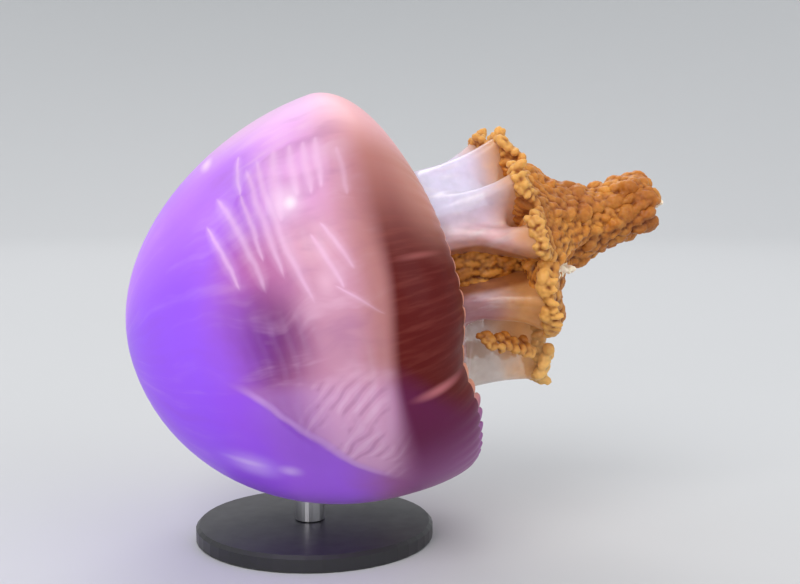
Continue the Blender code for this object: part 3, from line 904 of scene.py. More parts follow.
class Nodes:
    """A short hand for building a material's or group's node tree."""

    def __init__(self, tree: bpy.types.NodeTree) -> None:
        """Starts on an empty tree."""
        self.tree = tree
        tree.nodes.clear()

    def add(self, kind: str, **settings: object) -> bpy.types.Node:
        """Adds a node and sets its properties.

        Args:
            kind: The node's type name.
            settings: Property names and values.

        Returns:
            The node.
        """
        node = self.tree.nodes.new(kind)
        for name, value in settings.items():
            setattr(node, name, value)
        return node

    def link(self, source: bpy.types.NodeSocket, target: bpy.types.NodeSocket) -> None:
        """Joins an output to an input."""
        self.tree.links.new(source, target)

    def feed(self, socket: bpy.types.NodeSocket, value: object) -> None:
        """Links a socket, or sets a plain number or colour, on an input."""
        if isinstance(value, bpy.types.NodeSocket):
            self.link(value, socket)
        else:
            socket.default_value = value

    def math(self, operation: str, first: object, second: object = 0.0, third: object = 0.0,
             clamp: bool = False) -> bpy.types.NodeSocket:
        """Adds a math node.

        Args:
            operation: What it does.
            first: First number or socket.
            second: Second number or socket.
            third: Third number or socket.
            clamp: Whether the answer is held between 0 and 1.

        Returns:
            Its output.
        """
        node = self.add("ShaderNodeMath", operation=operation, use_clamp=clamp)
        for socket, value in zip(node.inputs, (first, second, third)):
            self.feed(socket, value)
        return node.outputs[0]

    def ramp(self, value: object, low: float, high: float) -> bpy.types.NodeSocket:
        """Maps a value from low..high to 0..1 with an eased rise, held at both ends."""
        node = self.add("ShaderNodeMapRange", clamp=True, interpolation_type="SMOOTHSTEP")
        self.feed(node.inputs["Value"], value)
        turned = low > high
        node.inputs["From Min"].default_value = min(low, high)
        node.inputs["From Max"].default_value = max(low, high)
        node.inputs["To Min"].default_value = 1.0 if turned else 0.0
        node.inputs["To Max"].default_value = 0.0 if turned else 1.0
        return node.outputs["Result"]

    def times(self, first: object, second: object) -> bpy.types.NodeSocket:
        """Multiplies two numbers."""
        return self.math("MULTIPLY", first, second)

    def mix(self, share: object, first: object, second: object) -> bpy.types.NodeSocket:
        """Mixes two colours and returns the result."""
        node = self.add("ShaderNodeMix", data_type="RGBA")
        self.feed(node.inputs[0], share)
        self.feed(node.inputs[6], first)
        self.feed(node.inputs[7], second)
        return node.outputs[2]

    def noise(self, vector: object, scale: float, detail: float = 3.0) -> bpy.types.NodeSocket:
        """Adds a noise texture and returns its value."""
        node = self.add("ShaderNodeTexNoise")
        self.feed(node.inputs["Vector"], vector)
        node.inputs["Scale"].default_value = scale
        node.inputs["Detail"].default_value = detail
        return node.outputs[0]

    def combine(self, x: object, y: object, z: object) -> bpy.types.NodeSocket:
        """Joins three numbers into a vector."""
        node = self.add("ShaderNodeCombineXYZ")
        for socket, value in zip(node.inputs, (x, y, z)):
            self.feed(socket, value)
        return node.outputs[0]

    def object_noise(self, scale: float, detail: float = 3.0) -> bpy.types.NodeSocket:
        """Returns noise on the piece's own coordinates, at a scale per metre."""
        coords = self.add("ShaderNodeTexCoord")
        return self.noise(coords.outputs["Object"], scale, detail)

    def bump(self, height: bpy.types.NodeSocket, strength: float, distance: float) -> bpy.types.NodeSocket:
        """Adds a bump node and returns its normal."""
        node = self.add("ShaderNodeBump")
        node.inputs["Strength"].default_value = strength
        node.inputs["Distance"].default_value = distance
        self.link(height, node.inputs["Height"])
        return node.outputs[0]


class SharedGroup:
    """A shader node group that several finishes use, built once."""

    name = "group"
    inputs: tuple[str, ...] = ()
    outputs: tuple[str, ...] = ()

    def tree(self) -> bpy.types.NodeTree:
        """Returns the group's tree, building it the first time."""
        if self.name in bpy.data.node_groups:
            return bpy.data.node_groups[self.name]
        tree = bpy.data.node_groups.new(self.name, "ShaderNodeTree")
        for title in self.inputs:
            tree.interface.new_socket(title, in_out="INPUT", socket_type="NodeSocketFloat")
        for title in self.outputs:
            tree.interface.new_socket(title, in_out="OUTPUT", socket_type="NodeSocketFloat")
        nodes = Nodes(tree)
        self.fill(nodes, nodes.add("NodeGroupInput"), nodes.add("NodeGroupOutput"))
        return tree

    def fill(self, nodes: Nodes, source: bpy.types.Node, out: bpy.types.Node) -> None:
        """Builds the inside of the group."""
        raise NotImplementedError

    def place(self, nodes: Nodes, **values: object) -> bpy.types.Node:
        """Places the group in a material with its own values.

        Args:
            nodes: The material's nodes.
            values: Input names, with spaces as underscores, and their values.

        Returns:
            The group node.
        """
        node = nodes.add("ShaderNodeGroup")
        node.node_tree = self.tree()
        for title, value in values.items():
            nodes.feed(node.inputs[title.replace("_", " ")], value)
        return node


class BodyPlace(SharedGroup):
    """A point's place on the animal: drop and radius in mm, its cosine upward, side in degrees."""

    name = "Body place"
    outputs = ("Drop", "Radius", "Up", "Side", "Turn")

    def fill(self, nodes: Nodes, source: bpy.types.Node, out: bpy.types.Node) -> None:
        """Builds the inside of the group."""
        coords = nodes.add("ShaderNodeTexCoord")
        shift = nodes.add("ShaderNodeVectorMath", operation="SUBTRACT")
        nodes.link(coords.outputs["Object"], shift.inputs[0])
        shift.inputs[1].default_value = POSE.apex
        parts = []
        for direction in (POSE.axis(), POSE.upper(), POSE.near()):
            dot = nodes.add("ShaderNodeVectorMath", operation="DOT_PRODUCT")
            nodes.link(shift.outputs[0], dot.inputs[0])
            dot.inputs[1].default_value = direction
            parts.append(nodes.times(dot.outputs["Value"], 1000.0))
        drop, up, near = parts
        squared = nodes.math("MULTIPLY_ADD", up, up, nodes.times(near, near))
        radius = nodes.math("SQRT", nodes.math("ADD", squared, 0.0001))
        turn = nodes.math("ARCTAN2", near, up)
        nodes.link(drop, out.inputs["Drop"])
        nodes.link(radius, out.inputs["Radius"])
        nodes.link(nodes.math("DIVIDE", up, radius), out.inputs["Up"])
        nodes.link(nodes.math("DEGREES", nodes.math("ABSOLUTE", turn)), out.inputs["Side"])
        nodes.link(turn, out.inputs["Turn"])


class SoftPatch(SharedGroup):
    """A soft-edged oval patch on the bell, by drop and side."""

    name = "Soft patch"
    inputs = ("Drop", "Side", "Middle drop", "Middle side", "Drop reach", "Side reach")
    outputs = ("Mask",)

    def fill(self, nodes: Nodes, source: bpy.types.Node, out: bpy.types.Node) -> None:
        """Builds the inside of the group."""
        down = nodes.math("DIVIDE", nodes.math("SUBTRACT", source.outputs["Drop"],
                                               source.outputs["Middle drop"]),
                          source.outputs["Drop reach"])
        aside = nodes.math("DIVIDE", nodes.math("SUBTRACT", source.outputs["Side"],
                                                source.outputs["Middle side"]),
                           source.outputs["Side reach"])
        far = nodes.math("SQRT", nodes.math("MULTIPLY_ADD", down, down, nodes.times(aside, aside)))
        nodes.link(nodes.ramp(far, 1.0, 0.0), out.inputs["Mask"])


@dataclass(frozen=True)
class Streak:
    """Where one pale streak runs: sides in degrees, drops, bow and half width in millimetres."""

    first_side: float
    last_side: float
    first_drop: float
    last_drop: float
    bow: float
    half_width: float


class LightStreak(SharedGroup):
    """A thin pale streak that tapers at both ends, by drop and side."""

    name = "Light streak"
    inputs = ("Drop", "Side", "First side", "Last side", "First drop", "Last drop", "Bow", "Half width")
    outputs = ("Mask",)

    def fill(self, nodes: Nodes, source: bpy.types.Node, out: bpy.types.Node) -> None:
        """Builds the inside of the group."""
        put = source.outputs
        run = nodes.math("SUBTRACT", put["Last side"], put["First side"])
        share = nodes.math("DIVIDE", nodes.math("SUBTRACT", put["Side"], put["First side"]), run, clamp=True)
        hump = nodes.times(nodes.times(share, nodes.math("SUBTRACT", 1.0, share)), 4.0)
        fall = nodes.math("SUBTRACT", put["Last drop"], put["First drop"])
        middle = nodes.math("MULTIPLY_ADD", fall, share, put["First drop"])
        middle = nodes.math("MULTIPLY_ADD", hump, put["Bow"], middle)
        off = nodes.math("ABSOLUTE", nodes.math("SUBTRACT", put["Drop"], middle))
        wide = nodes.math("ADD", nodes.times(nodes.math("POWER", hump, 0.6), put["Half width"]), 0.001)
        near = nodes.math("DIVIDE", off, wide)
        halo = nodes.times(nodes.ramp(near, 2.6, 0.0), 0.45)
        mask = nodes.math("MULTIPLY_ADD", nodes.ramp(near, 1.0, 0.0), 0.55, halo)
        nodes.link(nodes.times(mask, nodes.ramp(hump, 0.0, 0.35)), out.inputs["Mask"])


@dataclass(frozen=True)
class JellyFinish:
    """What every wet, clear flesh finish of the animal shares."""

    name: str = "jelly"
    roughness: float = 0.42
    gloss: float = 0.15
    coat: float = 0.05
    coat_roughness: float = 0.12
    scatter: float = 0.25
    depth: float = 5.0 * MM
    # Painted glow: the flesh emits faint light in its own colour, though it is no lamp.
    painted_glow: float = 0.10
    sheen: float = 0.10

    def start(self) -> tuple[Nodes, bpy.types.Material, bpy.types.Node, bpy.types.Node]:
        """Starts the material.

        Returns:
            Node helper, material, shader and the body-place node.
        """
        mat = bpy.data.materials.new(self.name)
        mat.use_nodes = True
        nodes = Nodes(mat.node_tree)
        out = nodes.add("ShaderNodeOutputMaterial")
        shader = nodes.add("ShaderNodeBsdfPrincipled")
        nodes.link(shader.outputs[0], out.inputs["Surface"])
        shader.inputs["Roughness"].default_value = self.roughness
        shader.inputs["Specular IOR Level"].default_value = self.gloss
        shader.inputs["Coat Weight"].default_value = self.coat
        shader.inputs["Coat Roughness"].default_value = self.coat_roughness
        shader.inputs["Subsurface Weight"].default_value = self.scatter
        shader.inputs["Subsurface Radius"].default_value = (1.0, 0.6, 0.8)
        shader.inputs["Subsurface Scale"].default_value = self.depth
        shader.inputs["Emission Strength"].default_value = self.painted_glow
        shader.inputs["Sheen Weight"].default_value = self.sheen
        shader.inputs["Sheen Roughness"].default_value = 0.3
        return nodes, mat, shader, BodyPlace().place(nodes)

    def colour(self, nodes: Nodes, shader: bpy.types.Node, colour: bpy.types.NodeSocket) -> None:
        """Gives the shader its colour, and a faint painted glow in the same colour: emitted light that
        stands in for light passing through the clear flesh.
        """
        nodes.link(colour, shader.inputs["Base Color"])
        nodes.link(colour, shader.inputs["Emission Color"])


@dataclass(frozen=True)
class BellOutside(JellyFinish):
    """The outer face of the bell: violet apex, clear mauve and pink flank, brown margin."""

    name: str = "bell_outside"

    def build(self) -> bpy.types.Material:
        """Returns the material."""
        nodes, mat, shader, place = self.start()
        drop, up, side = place.outputs["Drop"], place.outputs["Up"], place.outputs["Side"]
        cloud = nodes.object_noise(34.0, 4.0)
        wander = nodes.math("MULTIPLY_ADD", cloud, 14.0, nodes.math("ADD", drop, -7.0))
        strayed = nodes.math("MULTIPLY_ADD", nodes.object_noise(26.0, 3.0), 22.0,
                             nodes.math("ADD", side, -11.0))
        violet = self.violet(nodes, drop, side)
        colour = nodes.mix(nodes.ramp(wander, 20.0, 44.0), violet, self.flank(nodes, wander, strayed))
        colour = self.wisps(nodes, place.outputs["Turn"], drop, colour)
        # Painted highlight on the top side, where light from above shines through the jelly.
        top_highlight = nodes.times(nodes.ramp(up, 0.84, 1.0), nodes.ramp(drop, 22.0, 50.0))
        colour = nodes.mix(top_highlight, colour, srgb(222, 178, 220))
        colour = self.streaks(nodes, drop, side, colour)
        low = self.low_side(nodes, drop, up)
        colour = nodes.mix(low, colour, self.lower(nodes, wander, drop, side))
        edge = nodes.math("SUBTRACT", 75.0, nodes.times(nodes.ramp(up, 0.25, -0.35), 5.0))
        past = nodes.math("SUBTRACT", drop, edge)
        soft = nodes.math("MULTIPLY_ADD", nodes.ramp(up, 0.15, 0.8), 4.5, 2.4)
        soft = nodes.math("MULTIPLY_ADD", nodes.ramp(up, -0.35, -0.8), 5.0, soft)
        band = nodes.ramp(nodes.math("DIVIDE", past, soft), -1.5, 0.55)
        ochre = nodes.times(nodes.ramp(past, -12.0, -3.0), nodes.ramp(up, 0.75, 0.25))
        ochre = nodes.times(ochre, nodes.math("SUBTRACT", 1.0, low))
        colour = nodes.mix(nodes.times(ochre, 0.6), colour, srgb(176, 118, 104))
        colour = nodes.mix(band, colour, self.band(nodes, drop, up, side, place.outputs["Turn"], low))
        self.colour(nodes, shader, colour)
        clear = nodes.times(nodes.ramp(wander, 26.0, 46.0), nodes.ramp(up, 0.97, 0.75))
        clear = nodes.times(clear, nodes.ramp(up, -0.9, -0.55))
        clear = nodes.times(clear, nodes.math("SUBTRACT", 1.0, band))
        nodes.link(nodes.math("MULTIPLY_ADD", clear, -0.30, 0.97), shader.inputs["Alpha"])
        nodes.link(nodes.bump(nodes.object_noise(900.0, 2.0), 0.05, 0.0004), shader.inputs["Normal"])
        return mat

    def spot(self, nodes: Nodes, drop: object, side: object, colour: object, at: tuple[float, float],
             reach: tuple[float, float], share: float, paint: Colour) -> bpy.types.NodeSocket:
        """Lays one soft oval patch over a colour.

        Args:
            nodes: The material's nodes.
            drop: Drop socket.
            side: Side socket.
            colour: The colour beneath.
            at: Drop and side of the middle.
            reach: How far the patch reaches in drop and in side.
            share: How strongly it covers.
            paint: Its own colour.

        Returns:
            The colour.
        """
        patch = SoftPatch().place(nodes, Drop=drop, Side=side, Middle_drop=at[0], Middle_side=at[1],
                                  Drop_reach=reach[0], Side_reach=reach[1])
        return nodes.mix(nodes.times(patch.outputs[0], share), colour, paint)

    def violet(self, nodes: Nodes, drop: object, side: object) -> bpy.types.NodeSocket:
        """Returns the violet of the apex, warmer on the upper side and bluer in the middle."""
        colour = nodes.mix(nodes.ramp(side, 75.0, 20.0), srgb(149, 86, 237), srgb(188, 122, 246))
        return self.spot(nodes, drop, side, colour, (4.0, 130.0), (30.0, 60.0), 0.45, srgb(142, 60, 236))

    def wisps(self, nodes: Nodes, turn: object, drop: object, colour: object) -> bpy.types.NodeSocket:
        """Lays faint cloudy wisps along the jelly, pale and dark, weaker near the apex."""
        bent = nodes.math("MULTIPLY_ADD", nodes.object_noise(34.0, 2.0), 3.0, nodes.times(turn, 9.0))
        along = nodes.combine(bent, nodes.times(drop, 0.045), 0.0)
        wisp = nodes.math("MULTIPLY_ADD", nodes.object_noise(90.0, 2.0), 0.25,
                          nodes.times(nodes.noise(along, 1.0, 3.0), 0.75))
        near = nodes.math("MULTIPLY_ADD", nodes.ramp(drop, 28.0, 52.0), 0.75, 0.25)
        pale = nodes.times(nodes.times(nodes.ramp(wisp, 0.50, 0.70), near), 0.36)
        colour = nodes.mix(pale, colour, srgb(246, 206, 232))
        dark = nodes.times(nodes.times(nodes.ramp(wisp, 0.50, 0.34), near), 0.26)
        return nodes.mix(dark, colour, srgb(140, 72, 138))

    def flank(self, nodes: Nodes, drop: object, side: object) -> bpy.types.NodeSocket:
        """Returns the mauve, magenta and pale pink of the clear flank."""
        colour = nodes.mix(nodes.ramp(side, 92.0, 40.0), srgb(170, 98, 148), srgb(190, 122, 238))
        pale = nodes.mix(nodes.ramp(side, 72.0, 40.0), srgb(206, 150, 176), srgb(232, 172, 234))
        colour = nodes.mix(nodes.ramp(drop, 40.0, 58.0), colour, pale)
        pale = nodes.mix(nodes.ramp(side, 70.0, 30.0), srgb(202, 140, 156), srgb(226, 172, 206))
        colour = nodes.mix(nodes.ramp(drop, 58.0, 70.0), colour, pale)
        colour = self.spot(nodes, drop, side, colour, (41.0, 72.0), (17.0, 17.0), 0.8, srgb(198, 112, 160))
        colour = self.spot(nodes, drop, side, colour, (39.0, 92.0), (18.0, 19.0), 0.95, srgb(118, 48, 116))
        colour = self.spot(nodes, drop, side, colour, (56.0, 68.0), (12.0, 14.0), 0.5, srgb(240, 192, 208))
        return self.spot(nodes, drop, side, colour, (60.0, 96.0), (12.0, 14.0), 0.4, srgb(178, 128, 158))

    def lower(self, nodes: Nodes, drop: object, true_drop: object,
              true_side: object) -> bpy.types.NodeSocket:
        """Returns the purple of the low side, with a pale ribbed zone bounded by a slanting line, and
        painted highlights on it.
        """
        base = nodes.mix(nodes.ramp(true_side, 112.0, 150.0), srgb(157, 93, 220), srgb(172, 104, 244))
        base = nodes.mix(nodes.ramp(drop, 50.0, 68.0), base, srgb(164, 102, 156))
        base = nodes.mix(nodes.ramp(drop, 40.0, 24.0), base, srgb(146, 76, 236))
        slope = nodes.math("MULTIPLY_ADD", true_side, -0.92, nodes.math("ADD", true_drop, 60.0))
        slope = nodes.math("MULTIPLY_ADD", nodes.object_noise(55.0, 2.0), 7.0, slope)
        zone = nodes.times(nodes.ramp(slope, -2.5, 3.0), nodes.ramp(true_side, 150.0, 128.0))
        zone = nodes.times(zone, nodes.ramp(true_drop, 76.0, 62.0))
        pale = nodes.mix(nodes.ramp(true_drop, 40.0, 54.0), srgb(178, 120, 184), srgb(224, 174, 206))
        base = nodes.mix(nodes.times(zone, 0.88), base, pale)
        rib = nodes.math("MULTIPLY_ADD", true_side, 1.35, nodes.times(true_drop, 1.30))
        rib = nodes.math("SINE", nodes.math("MULTIPLY_ADD", nodes.object_noise(60.0, 2.0), 17.0, rib))
        broken = nodes.ramp(nodes.object_noise(130.0, 2.0), 0.42, 0.62)
        ribs = nodes.times(nodes.times(nodes.ramp(true_drop, 40.0, 50.0), zone), broken)
        dark = nodes.times(nodes.times(nodes.ramp(rib, 0.25, 1.0), ribs), 0.34)
        base = nodes.mix(dark, base, srgb(146, 84, 132))
        light = nodes.times(nodes.times(nodes.ramp(rib, -0.2, -1.0), ribs), 0.30)
        base = nodes.mix(light, base, srgb(246, 212, 238))
        line = nodes.times(nodes.ramp(nodes.math("ABSOLUTE", slope), 2.4, 0.2),
                           nodes.ramp(true_side, 142.0, 130.0))
        base = nodes.mix(nodes.times(line, 0.5), base, srgb(220, 176, 230))
        # Painted highlights: a pale lilac blob with a bright line across it, and a second smaller one.
        base = self.spot(nodes, true_drop, true_side, base, (27.0, 133.0), (11.0, 9.5), 0.8,
                         srgb(206, 172, 255))
        base = self.spot(nodes, true_drop, true_side, base, (25.5, 131.5), (8.0, 2.4), 0.45,
                         srgb(240, 222, 255))
        return self.spot(nodes, true_drop, true_side, base, (37.5, 132.5), (4.4, 3.8), 0.75,
                         srgb(214, 180, 250))

    def low_side(self, nodes: Nodes, drop: object, up: object) -> bpy.types.NodeSocket:
        """Returns the mask of the purple low side; its edge slants down along the margin."""
        edge = nodes.math("MULTIPLY_ADD", nodes.ramp(drop, 66.0, 92.0), -0.34, -0.18)
        sure = nodes.math("MULTIPLY_ADD", nodes.ramp(drop, 44.0, 62.0), -0.05, -0.10)
        past = nodes.math("DIVIDE", nodes.math("SUBTRACT", up, edge), sure)
        return nodes.times(nodes.ramp(past, -0.2, 1.0), nodes.ramp(drop, 14.0, 34.0))

    def streaks(self, nodes: Nodes, drop: object, side: object, colour: object) -> bpy.types.NodeSocket:
        """Lays the pale muscle streaks across the upper flank, and painted highlights among them."""
        waver = nodes.math("MULTIPLY_ADD", nodes.object_noise(120.0, 2.0), 1.6,
                           nodes.math("ADD", drop, -0.8))
        runs = (Streak(50.0, 75.0, 32.6, 37.2, 0.2, 1.1), Streak(42.0, 78.0, 36.8, 43.6, 0.6, 1.5),
                Streak(38.0, 76.0, 46.4, 48.8, -0.4, 1.5), Streak(36.0, 84.0, 49.8, 54.6, -2.0, 1.6),
                Streak(36.0, 62.0, 54.8, 51.4, -0.5, 2.6), Streak(37.0, 56.0, 59.0, 57.4, -0.3, 1.9),
                Streak(38.0, 57.0, 62.6, 60.8, -0.2, 1.7), Streak(38.0, 56.0, 66.0, 63.6, -0.2, 1.6),
                Streak(44.0, 60.0, 70.6, 69.6, 0.0, 1.3), Streak(66.0, 82.0, 57.6, 62.4, 0.3, 1.2),
                Streak(64.0, 78.0, 60.6, 66.0, 0.2, 1.1), Streak(80.0, 90.0, 60.0, 71.0, 0.0, 0.8),
                Streak(46.0, 70.0, 43.0, 44.6, 0.3, 1.0), Streak(30.0, 48.0, 45.0, 43.0, 0.0, 0.9))
        mask: object = 0.0
        for run in runs:
            streak = LightStreak().place(nodes, Drop=waver, Side=side, First_side=run.first_side,
                                         Last_side=run.last_side, First_drop=run.first_drop,
                                         Last_drop=run.last_drop, Bow=run.bow,
                                         Half_width=run.half_width)
            mask = nodes.math("MAXIMUM", mask, streak.outputs[0])
        colour = nodes.mix(nodes.times(mask, 0.54), colour, srgb(248, 208, 242))
        # Painted highlights: a soft glint with a brighter core, and a small bright patch near the upper
        # side.
        colour = self.spot(nodes, drop, side, colour, (54.0, 56.0), (7.0, 8.0), 0.72, srgb(252, 224, 248))
        colour = self.spot(nodes, drop, side, colour, (55.0, 56.5), (2.4, 2.8), 0.9, srgb(255, 248, 255))
        colour = self.spot(nodes, drop, side, colour, (36.0, 19.0), (2.6, 8.0), 0.6, srgb(252, 226, 250))
        return self.spot(nodes, drop, side, colour, (58.5, 79.0), (4.0, 5.0), 0.7, srgb(236, 190, 214))

    def band(self, nodes: Nodes, drop: object, up: object, side: object, turn: object,
             low: object) -> bpy.types.NodeSocket:
        """Returns the brown of the margin with its fine fibres, darker toward the low side, purple on the
        low side.
        """
        fibre = nodes.noise(nodes.combine(nodes.times(turn, 34.0), nodes.times(drop, 0.07), 0.0), 1.0, 4.0)
        # The brown darkens toward the low side: partly the margin's own deeper brown, partly painted shade
        # from the hollow and arms behind the thin margin.
        colour = nodes.mix(nodes.ramp(up, 0.80, 0.15), srgb(178, 118, 112), srgb(86, 12, 8))
        # Paler toward the lappets on the upper half of the band.
        rim_paling = nodes.times(nodes.ramp(drop, 79.0, 91.0), nodes.ramp(up, 0.1, 0.6))
        colour = nodes.mix(nodes.times(rim_paling, 0.75), colour, srgb(202, 142, 126))
        colour = nodes.mix(nodes.times(nodes.ramp(fibre, 0.42, 0.78), 0.14), colour, srgb(170, 92, 80))
        colour = nodes.mix(nodes.ramp(up, 0.66, 0.95), colour, srgb(232, 172, 178))
        purple = nodes.mix(nodes.ramp(up, -0.55, -0.95), srgb(92, 22, 64), srgb(134, 70, 128))
        colour = nodes.mix(low, colour, purple)
        colour = self.spot(nodes, drop, side, colour, (80.0, 113.0), (10.0, 2.2), 0.6, srgb(206, 124, 130))
        return self.spot(nodes, drop, side, colour, (83.0, 78.0), (9.0, 1.4), 0.3, srgb(200, 120, 116))


@dataclass(frozen=True)
class BellInside(JellyFinish):
    """The wall of the hollow: mauve at the roof, pale pink ridges, then brown at the rim."""

    name: str = "bell_inside"
    roughness: float = 0.45
    coat: float = 0.04

    def build(self) -> bpy.types.Material:
        """Returns the material."""
        nodes, mat, shader, place = self.start()
        drop, up = place.outputs["Drop"], place.outputs["Up"]
        cloud = nodes.object_noise(38.0, 4.0)
        wander = nodes.math("MULTIPLY_ADD", cloud, 16.0, nodes.math("ADD", drop, -8.0))
        mauve = nodes.mix(nodes.ramp(up, -0.2, 0.8), srgb(128, 52, 116), srgb(176, 108, 190))
        colour = nodes.mix(nodes.ramp(wander, 34.0, 54.0), mauve, srgb(226, 172, 192))
        ridge = nodes.add("ShaderNodeAttribute", attribute_name="ridge").outputs["Fac"]
        light = nodes.times(nodes.ramp(ridge, 0.25, 0.95), 0.55)
        colour = nodes.mix(light, colour, srgb(250, 226, 240))
        colour = nodes.mix(nodes.ramp(drop, 64.0, 74.0), colour, srgb(168, 112, 92))
        colour = nodes.mix(nodes.ramp(drop, 71.0, 79.0), colour, srgb(96, 32, 26))
        self.colour(nodes, shader, colour)
        return mat


@dataclass(frozen=True)
class RimFlesh(JellyFinish):
    """The clear peach edge of the lappets."""

    name: str = "rim_flesh"
    painted_glow: float = 0.05

    def build(self) -> bpy.types.Material:
        """Returns the material."""
        nodes, mat, shader, place = self.start()
        cloud = nodes.object_noise(260.0, 2.0)
        peach = nodes.mix(cloud, srgb(186, 98, 70), srgb(236, 172, 146))
        purple = srgb(150, 84, 150)
        self.colour(nodes, shader, nodes.mix(nodes.ramp(place.outputs["Up"], -0.5, -0.7), peach, purple))
        shader.inputs["Alpha"].default_value = 0.9
        return mat


@dataclass(frozen=True)
class ArmFlesh(JellyFinish):
    """The clear upper arms: whitish above, pink at the side, mauve then grey below."""

    name: str = "arm_flesh"
    roughness: float = 0.3
    gloss: float = 0.5
    coat: float = 0.5
    coat_roughness: float = 0.1
    depth: float = 3.0 * MM

    def build(self) -> bpy.types.Material:
        """Returns the material."""
        nodes, mat, shader, place = self.start()
        drop, up, radius = place.outputs["Drop"], place.outputs["Up"], place.outputs["Radius"]
        upper = nodes.mix(nodes.ramp(up, 0.30, 0.75), srgb(248, 204, 210), srgb(226, 220, 248))
        colour = nodes.mix(nodes.ramp(up, 0.05, -0.30), upper, srgb(186, 136, 146))
        colour = nodes.mix(nodes.ramp(up, -0.70, -0.90), colour, srgb(202, 184, 172))
        veil = nodes.object_noise(150.0, 3.0)
        strand = nodes.noise(nodes.combine(nodes.times(place.outputs["Turn"], 9.0),
                                           nodes.times(drop, 0.06), 0.0), 1.0, 3.0)
        colour = nodes.mix(nodes.times(nodes.ramp(strand, 0.5, 0.7), 0.4), colour, srgb(250, 240, 246))
        sooner = nodes.math("MULTIPLY_ADD", nodes.ramp(up, 0.1, -0.4), 7.0, drop)
        tip = nodes.ramp(nodes.math("MULTIPLY_ADD", veil, 6.0, sooner), 111.0, 123.0)
        tip = nodes.times(tip, 0.85)
        colour = nodes.mix(tip, colour, srgb(226, 164, 88))
        turn = place.outputs["Turn"]
        mouth = nodes.times(nodes.ramp(turn, 1.13, 1.27), nodes.ramp(turn, 1.98, 1.84))
        inner = nodes.math("MULTIPLY_ADD", mouth, -4.5, radius)
        inner = nodes.times(nodes.ramp(inner, 21.0, 17.0), nodes.ramp(drop, 93.0, 96.0))
        colour = nodes.mix(nodes.times(inner, 0.85), colour, srgb(150, 82, 36))
        inside = nodes.ramp(drop, 93.0, 86.0)
        colour = nodes.mix(inside, colour, srgb(190, 120, 136))
        self.colour(nodes, shader, colour)
        alpha = nodes.math("MULTIPLY_ADD", nodes.ramp(veil, 0.3, 0.7), 0.16, 0.56)
        alpha = nodes.math("MULTIPLY_ADD", inside, 0.35, alpha, clamp=True)
        nodes.link(alpha, shader.inputs["Alpha"])
        return mat


@dataclass(frozen=True)
class FrillFlesh(JellyFinish):
    """The golden brown mouth folds, with painted highlights on their crests and painted shade in the creases
    between them and under the clubs.
    """

    name: str = "frill_flesh"
    roughness: float = 0.5
    coat: float = 0.2
    coat_roughness: float = 0.25
    scatter: float = 0.3
    depth: float = 1.5 * MM
    painted_glow: float = 0.05

    def build(self) -> bpy.types.Material:
        """Returns the material."""
        nodes, mat, shader, place = self.start()
        drop, up, radius = place.outputs["Drop"], place.outputs["Up"], place.outputs["Radius"]
        crest = nodes.add("ShaderNodeAttribute", attribute_name="crest").outputs["Fac"]
        shade = nodes.add("ShaderNodeAttribute", attribute_name="shade").outputs["Fac"]
        cloud = nodes.object_noise(110.0, 3.0)
        tone = nodes.math("MULTIPLY_ADD", shade, 0.25, nodes.times(cloud, 0.9))
        # Crests take the lit colour and the creases a painted shade, darker still where they face down.
        high = nodes.mix(nodes.ramp(tone, 0.3, 0.85), srgb(186, 112, 36), srgb(216, 150, 68))
        crease_shade = nodes.mix(nodes.ramp(up, -0.2, 0.8), srgb(98, 44, 12), srgb(136, 74, 24))
        colour = nodes.mix(nodes.ramp(crest, 0.05, 0.75), crease_shade, high)
        slow = nodes.ramp(nodes.object_noise(55.0, 2.0), 0.42, 0.62)
        colour = nodes.mix(nodes.times(slow, 0.5), colour, srgb(136, 68, 24))
        # Painted shade on the underside of the clubs.
        underside_shade = nodes.times(nodes.ramp(up, 0.35, -0.15), nodes.ramp(drop, 128.0, 148.0))
        colour = nodes.mix(nodes.times(underside_shade, 0.35), colour, srgb(112, 56, 26))
        pallid = nodes.times(nodes.ramp(up, -0.80, -0.95), nodes.ramp(drop, 128.0, 118.0))
        colour = nodes.mix(nodes.times(pallid, 0.45), colour, srgb(236, 200, 132))
        out = nodes.times(nodes.ramp(radius, 28.0, 36.0), nodes.ramp(crest, 0.2, 0.8))
        colour = nodes.mix(nodes.times(out, 0.5), colour, srgb(240, 190, 106))
        colour = nodes.mix(nodes.ramp(shade, 1.4, 1.6), colour, srgb(244, 230, 206))
        self.colour(nodes, shader, colour)
        nodes.link(nodes.bump(nodes.object_noise(1500.0, 3.0), 0.2, 0.0004), shader.inputs["Normal"])
        return mat


@dataclass(frozen=True)
class StandFinish:
    """A plain finish for a piece of the stand."""

    name: str
    colour: Colour
    roughness: float
    metallic: float

    def build(self) -> bpy.types.Material:
        """Returns the material, with a faint unevenness in its gloss."""
        mat = bpy.data.materials.new(self.name)
        mat.use_nodes = True
        nodes = Nodes(mat.node_tree)
        out = nodes.add("ShaderNodeOutputMaterial")
        shader = nodes.add("ShaderNodeBsdfPrincipled")
        nodes.link(shader.outputs[0], out.inputs["Surface"])
        shader.inputs["Base Color"].default_value = self.colour
        shader.inputs["Metallic"].default_value = self.metallic
        rough = nodes.math("MULTIPLY_ADD", nodes.object_noise(220.0, 4.0), 0.14, self.roughness - 0.07)
        nodes.link(rough, shader.inputs["Roughness"])
        return mat


# --------------------------------------------------------------------------- assembly


class SkinPart(Enum):
    """Which finish a face of the skin takes."""

    OUTSIDE = 0
    INSIDE = 1
    RIM = 2
    ARMS = 3


